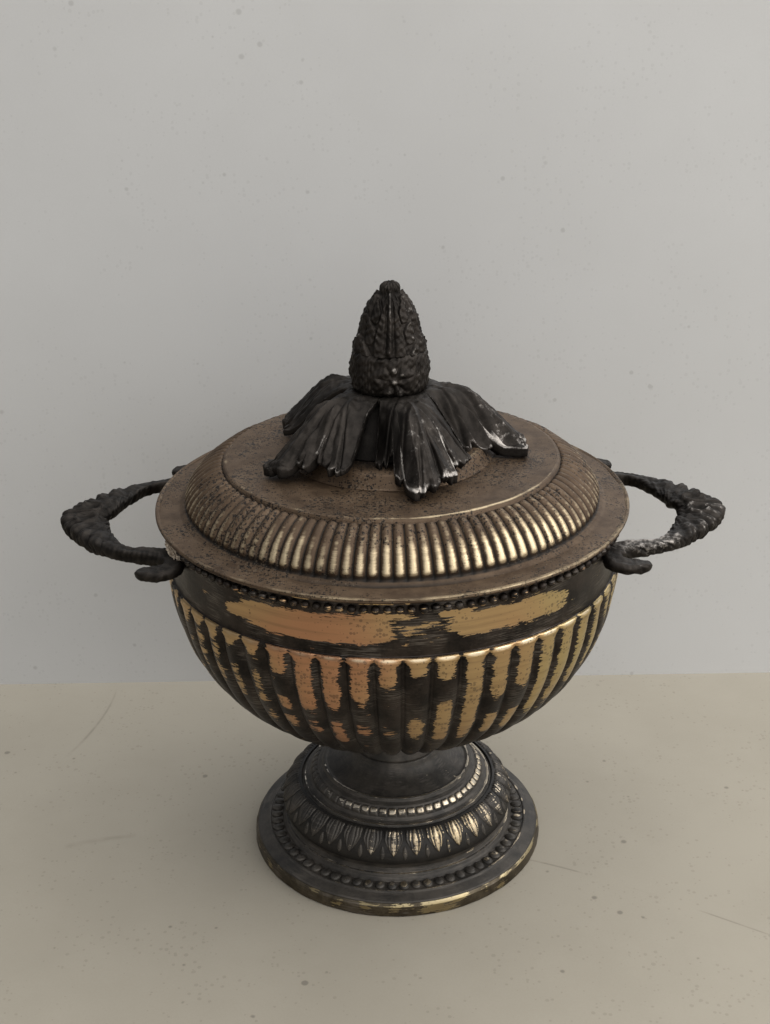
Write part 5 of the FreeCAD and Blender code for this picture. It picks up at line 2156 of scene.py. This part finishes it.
def dress_inner_pieces(finishes: Finishes) -> None:
    """Gives the CAD nodes that stay their materials.

    Args:
        finishes: every material.
    """
    steel = ("tie_rod", "tie_rod_lower_nut", "tie_rod_upper_nut", "foot_clamp_plate",
             "handle_screws", "finial_stud", "finial_nut")
    brass = ("bowl_floor_washer", "handle_washers", "lid_locating_ring", "finial_washer")
    for names, finish in ((steel, finishes.steel), (brass, finishes.brass)):
        for name in names:
            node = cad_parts[name]
            for slot in node.material_slots:
                slot.material = finish
            LOG.info("dressed %s", name)


@dataclass(frozen=True)
class Lamp:
    """A square area light that faces the object, with its place and side in millimetres."""

    name: str
    place: Corner
    side: float
    watts: float
    colour: Corner = (1.0, 0.99, 0.97)

    def build(self, aim_height: float) -> None:
        """Makes the light.

        Args:
            aim_height: height of the point on the axis that it faces.
        """
        data = bpy.data.lights.new(self.name, "AREA")
        data.size, data.energy, data.color = self.side * MM, self.watts, self.colour
        made = bpy.data.objects.new(self.name, data)
        made.location = Vector(self.place) * MM
        aim = Vector((0, 0, aim_height * MM)) - made.location
        made.rotation_euler = aim.to_track_quat("-Z", "Y").to_euler()
        bpy.context.scene.collection.objects.link(made)


@dataclass
class Stage:
    """Floor, wall, lights and camera."""

    wall_distance: float = 150.0
    size: float = 6000.0
    eye: tuple[float, float, float] = (0.0, -607.0, 441.0)
    pitch_deg: float = -23.48
    yaw_deg: float = 0.32
    roll_deg: float = -1.05
    focal_mm: float = 49.46
    sensor_mm: float = 36.0
    near_mm: float = 10.0
    bright_side: tuple[float, float, float] = (0.74, -0.12, 0.66)
    sky_low: float = 0.28
    sky_high: float = 0.86
    sky_colour: Rgb = (0.95, 0.97, 1.0, 1)
    aim_height: float = 150.0
    lamps: tuple[Lamp, ...] = (
        Lamp("key", (1120.0, -420.0, 900.0), 1200.0, 11.0, (1.0, 0.985, 0.96)),
        Lamp("top", (100.0, 0.0, 1500.0), 1500.0, 8.0),
        Lamp("front", (250.0, -1300.0, 600.0), 1200.0, 3.8),
        Lamp("back", (600.0, 1000.0, 900.0), 1100.0, 3.0))

    def build(self, finishes: Finishes) -> None:
        """Makes everything that isn't the object.

        Args:
            finishes: every material.
        """
        half = self.size / 2
        floor = self.sheet("floor", finishes.floor,
                           [(-half, -half, 0), (half, -half, 0), (half, half, 0),
                            (-half, half, 0)])
        wall_y = self.wall_distance
        wall = self.sheet("wall", finishes.wall,
                          [(-half, wall_y, 0), (half, wall_y, 0), (half, wall_y, half),
                           (-half, wall_y, half)])
        wall.visible_shadow = False
        wall.visible_diffuse = False
        wall.visible_glossy = False
        self.lights()
        self.camera()

    @staticmethod
    def sheet(name: str, finish: Material,
              corners: Sequence[Sequence[float]]) -> Piece:
        """A flat four-cornered sheet.

        Args:
            name: name of the sheet.
            finish: its material.
            corners: its corners in millimetres.

        Returns:
            The new object.
        """
        piece = raw_object(name, np.array(corners, float), np.array([[0, 1, 2, 3]]), {})
        piece.data.materials.append(finish)
        return piece

    def lights(self) -> None:
        """Soft studio light: a world that is paler on the right, and the lamps."""
        world = bpy.data.worlds.new("studio")
        bpy.context.scene.world = world
        world.use_nodes = True
        n = Nodes(world.node_tree)
        heading = n.add("ShaderNodeTexCoord").outputs["Generated"]
        bright_way = n.add("ShaderNodeVectorMath", {0: heading, 1: self.bright_side},
                           operation="DOT_PRODUCT").outputs["Value"]
        sky = n.add("ShaderNodeBackground", {"Color": self.sky_colour})
        n.feed(n.ramp(bright_way, -0.45, 1.0, self.sky_low, self.sky_high), sky, "Strength")
        n.add("ShaderNodeOutputWorld", {0: sky.outputs[0]})
        for lamp in self.lamps:
            lamp.build(self.aim_height)

    def camera(self) -> None:
        """The camera, a little above the lid and looking down."""
        data = bpy.data.cameras.new("camera")
        data.lens = self.focal_mm
        data.sensor_width = self.sensor_mm
        data.clip_start = self.near_mm * MM
        made = bpy.data.objects.new("camera", data)
        made.location = Vector(self.eye) * MM
        look = (Matrix.Rotation(math.radians(self.yaw_deg), 4, "Z")
                @ Matrix.Rotation(math.radians(90.0 + self.pitch_deg), 4, "X")
                @ Matrix.Rotation(math.radians(self.roll_deg), 4, "Z"))
        made.rotation_euler = look.to_euler()
        bpy.context.scene.collection.objects.link(made)
        bpy.context.scene.camera = made


def main() -> None:
    """Builds the whole object and its stage."""
    logging.basicConfig(level=logging.INFO, format="%(name)s: %(message)s")
    bpy.context.scene.view_settings.view_transform = "Standard"
    effects = Effects()
    finishes = Finishes(effects)
    Stage().build(finishes)
    Foot().build(finishes)
    Bowl().build(finishes)
    for side in Side:
        Handle(side).build(finishes)
    JointFiller().build(finishes)
    Lid().build(finishes)
    Rosette().build(finishes)
    Finial().build(finishes)
    dress_inner_pieces(finishes)


if __name__ == "__main__":
    main()
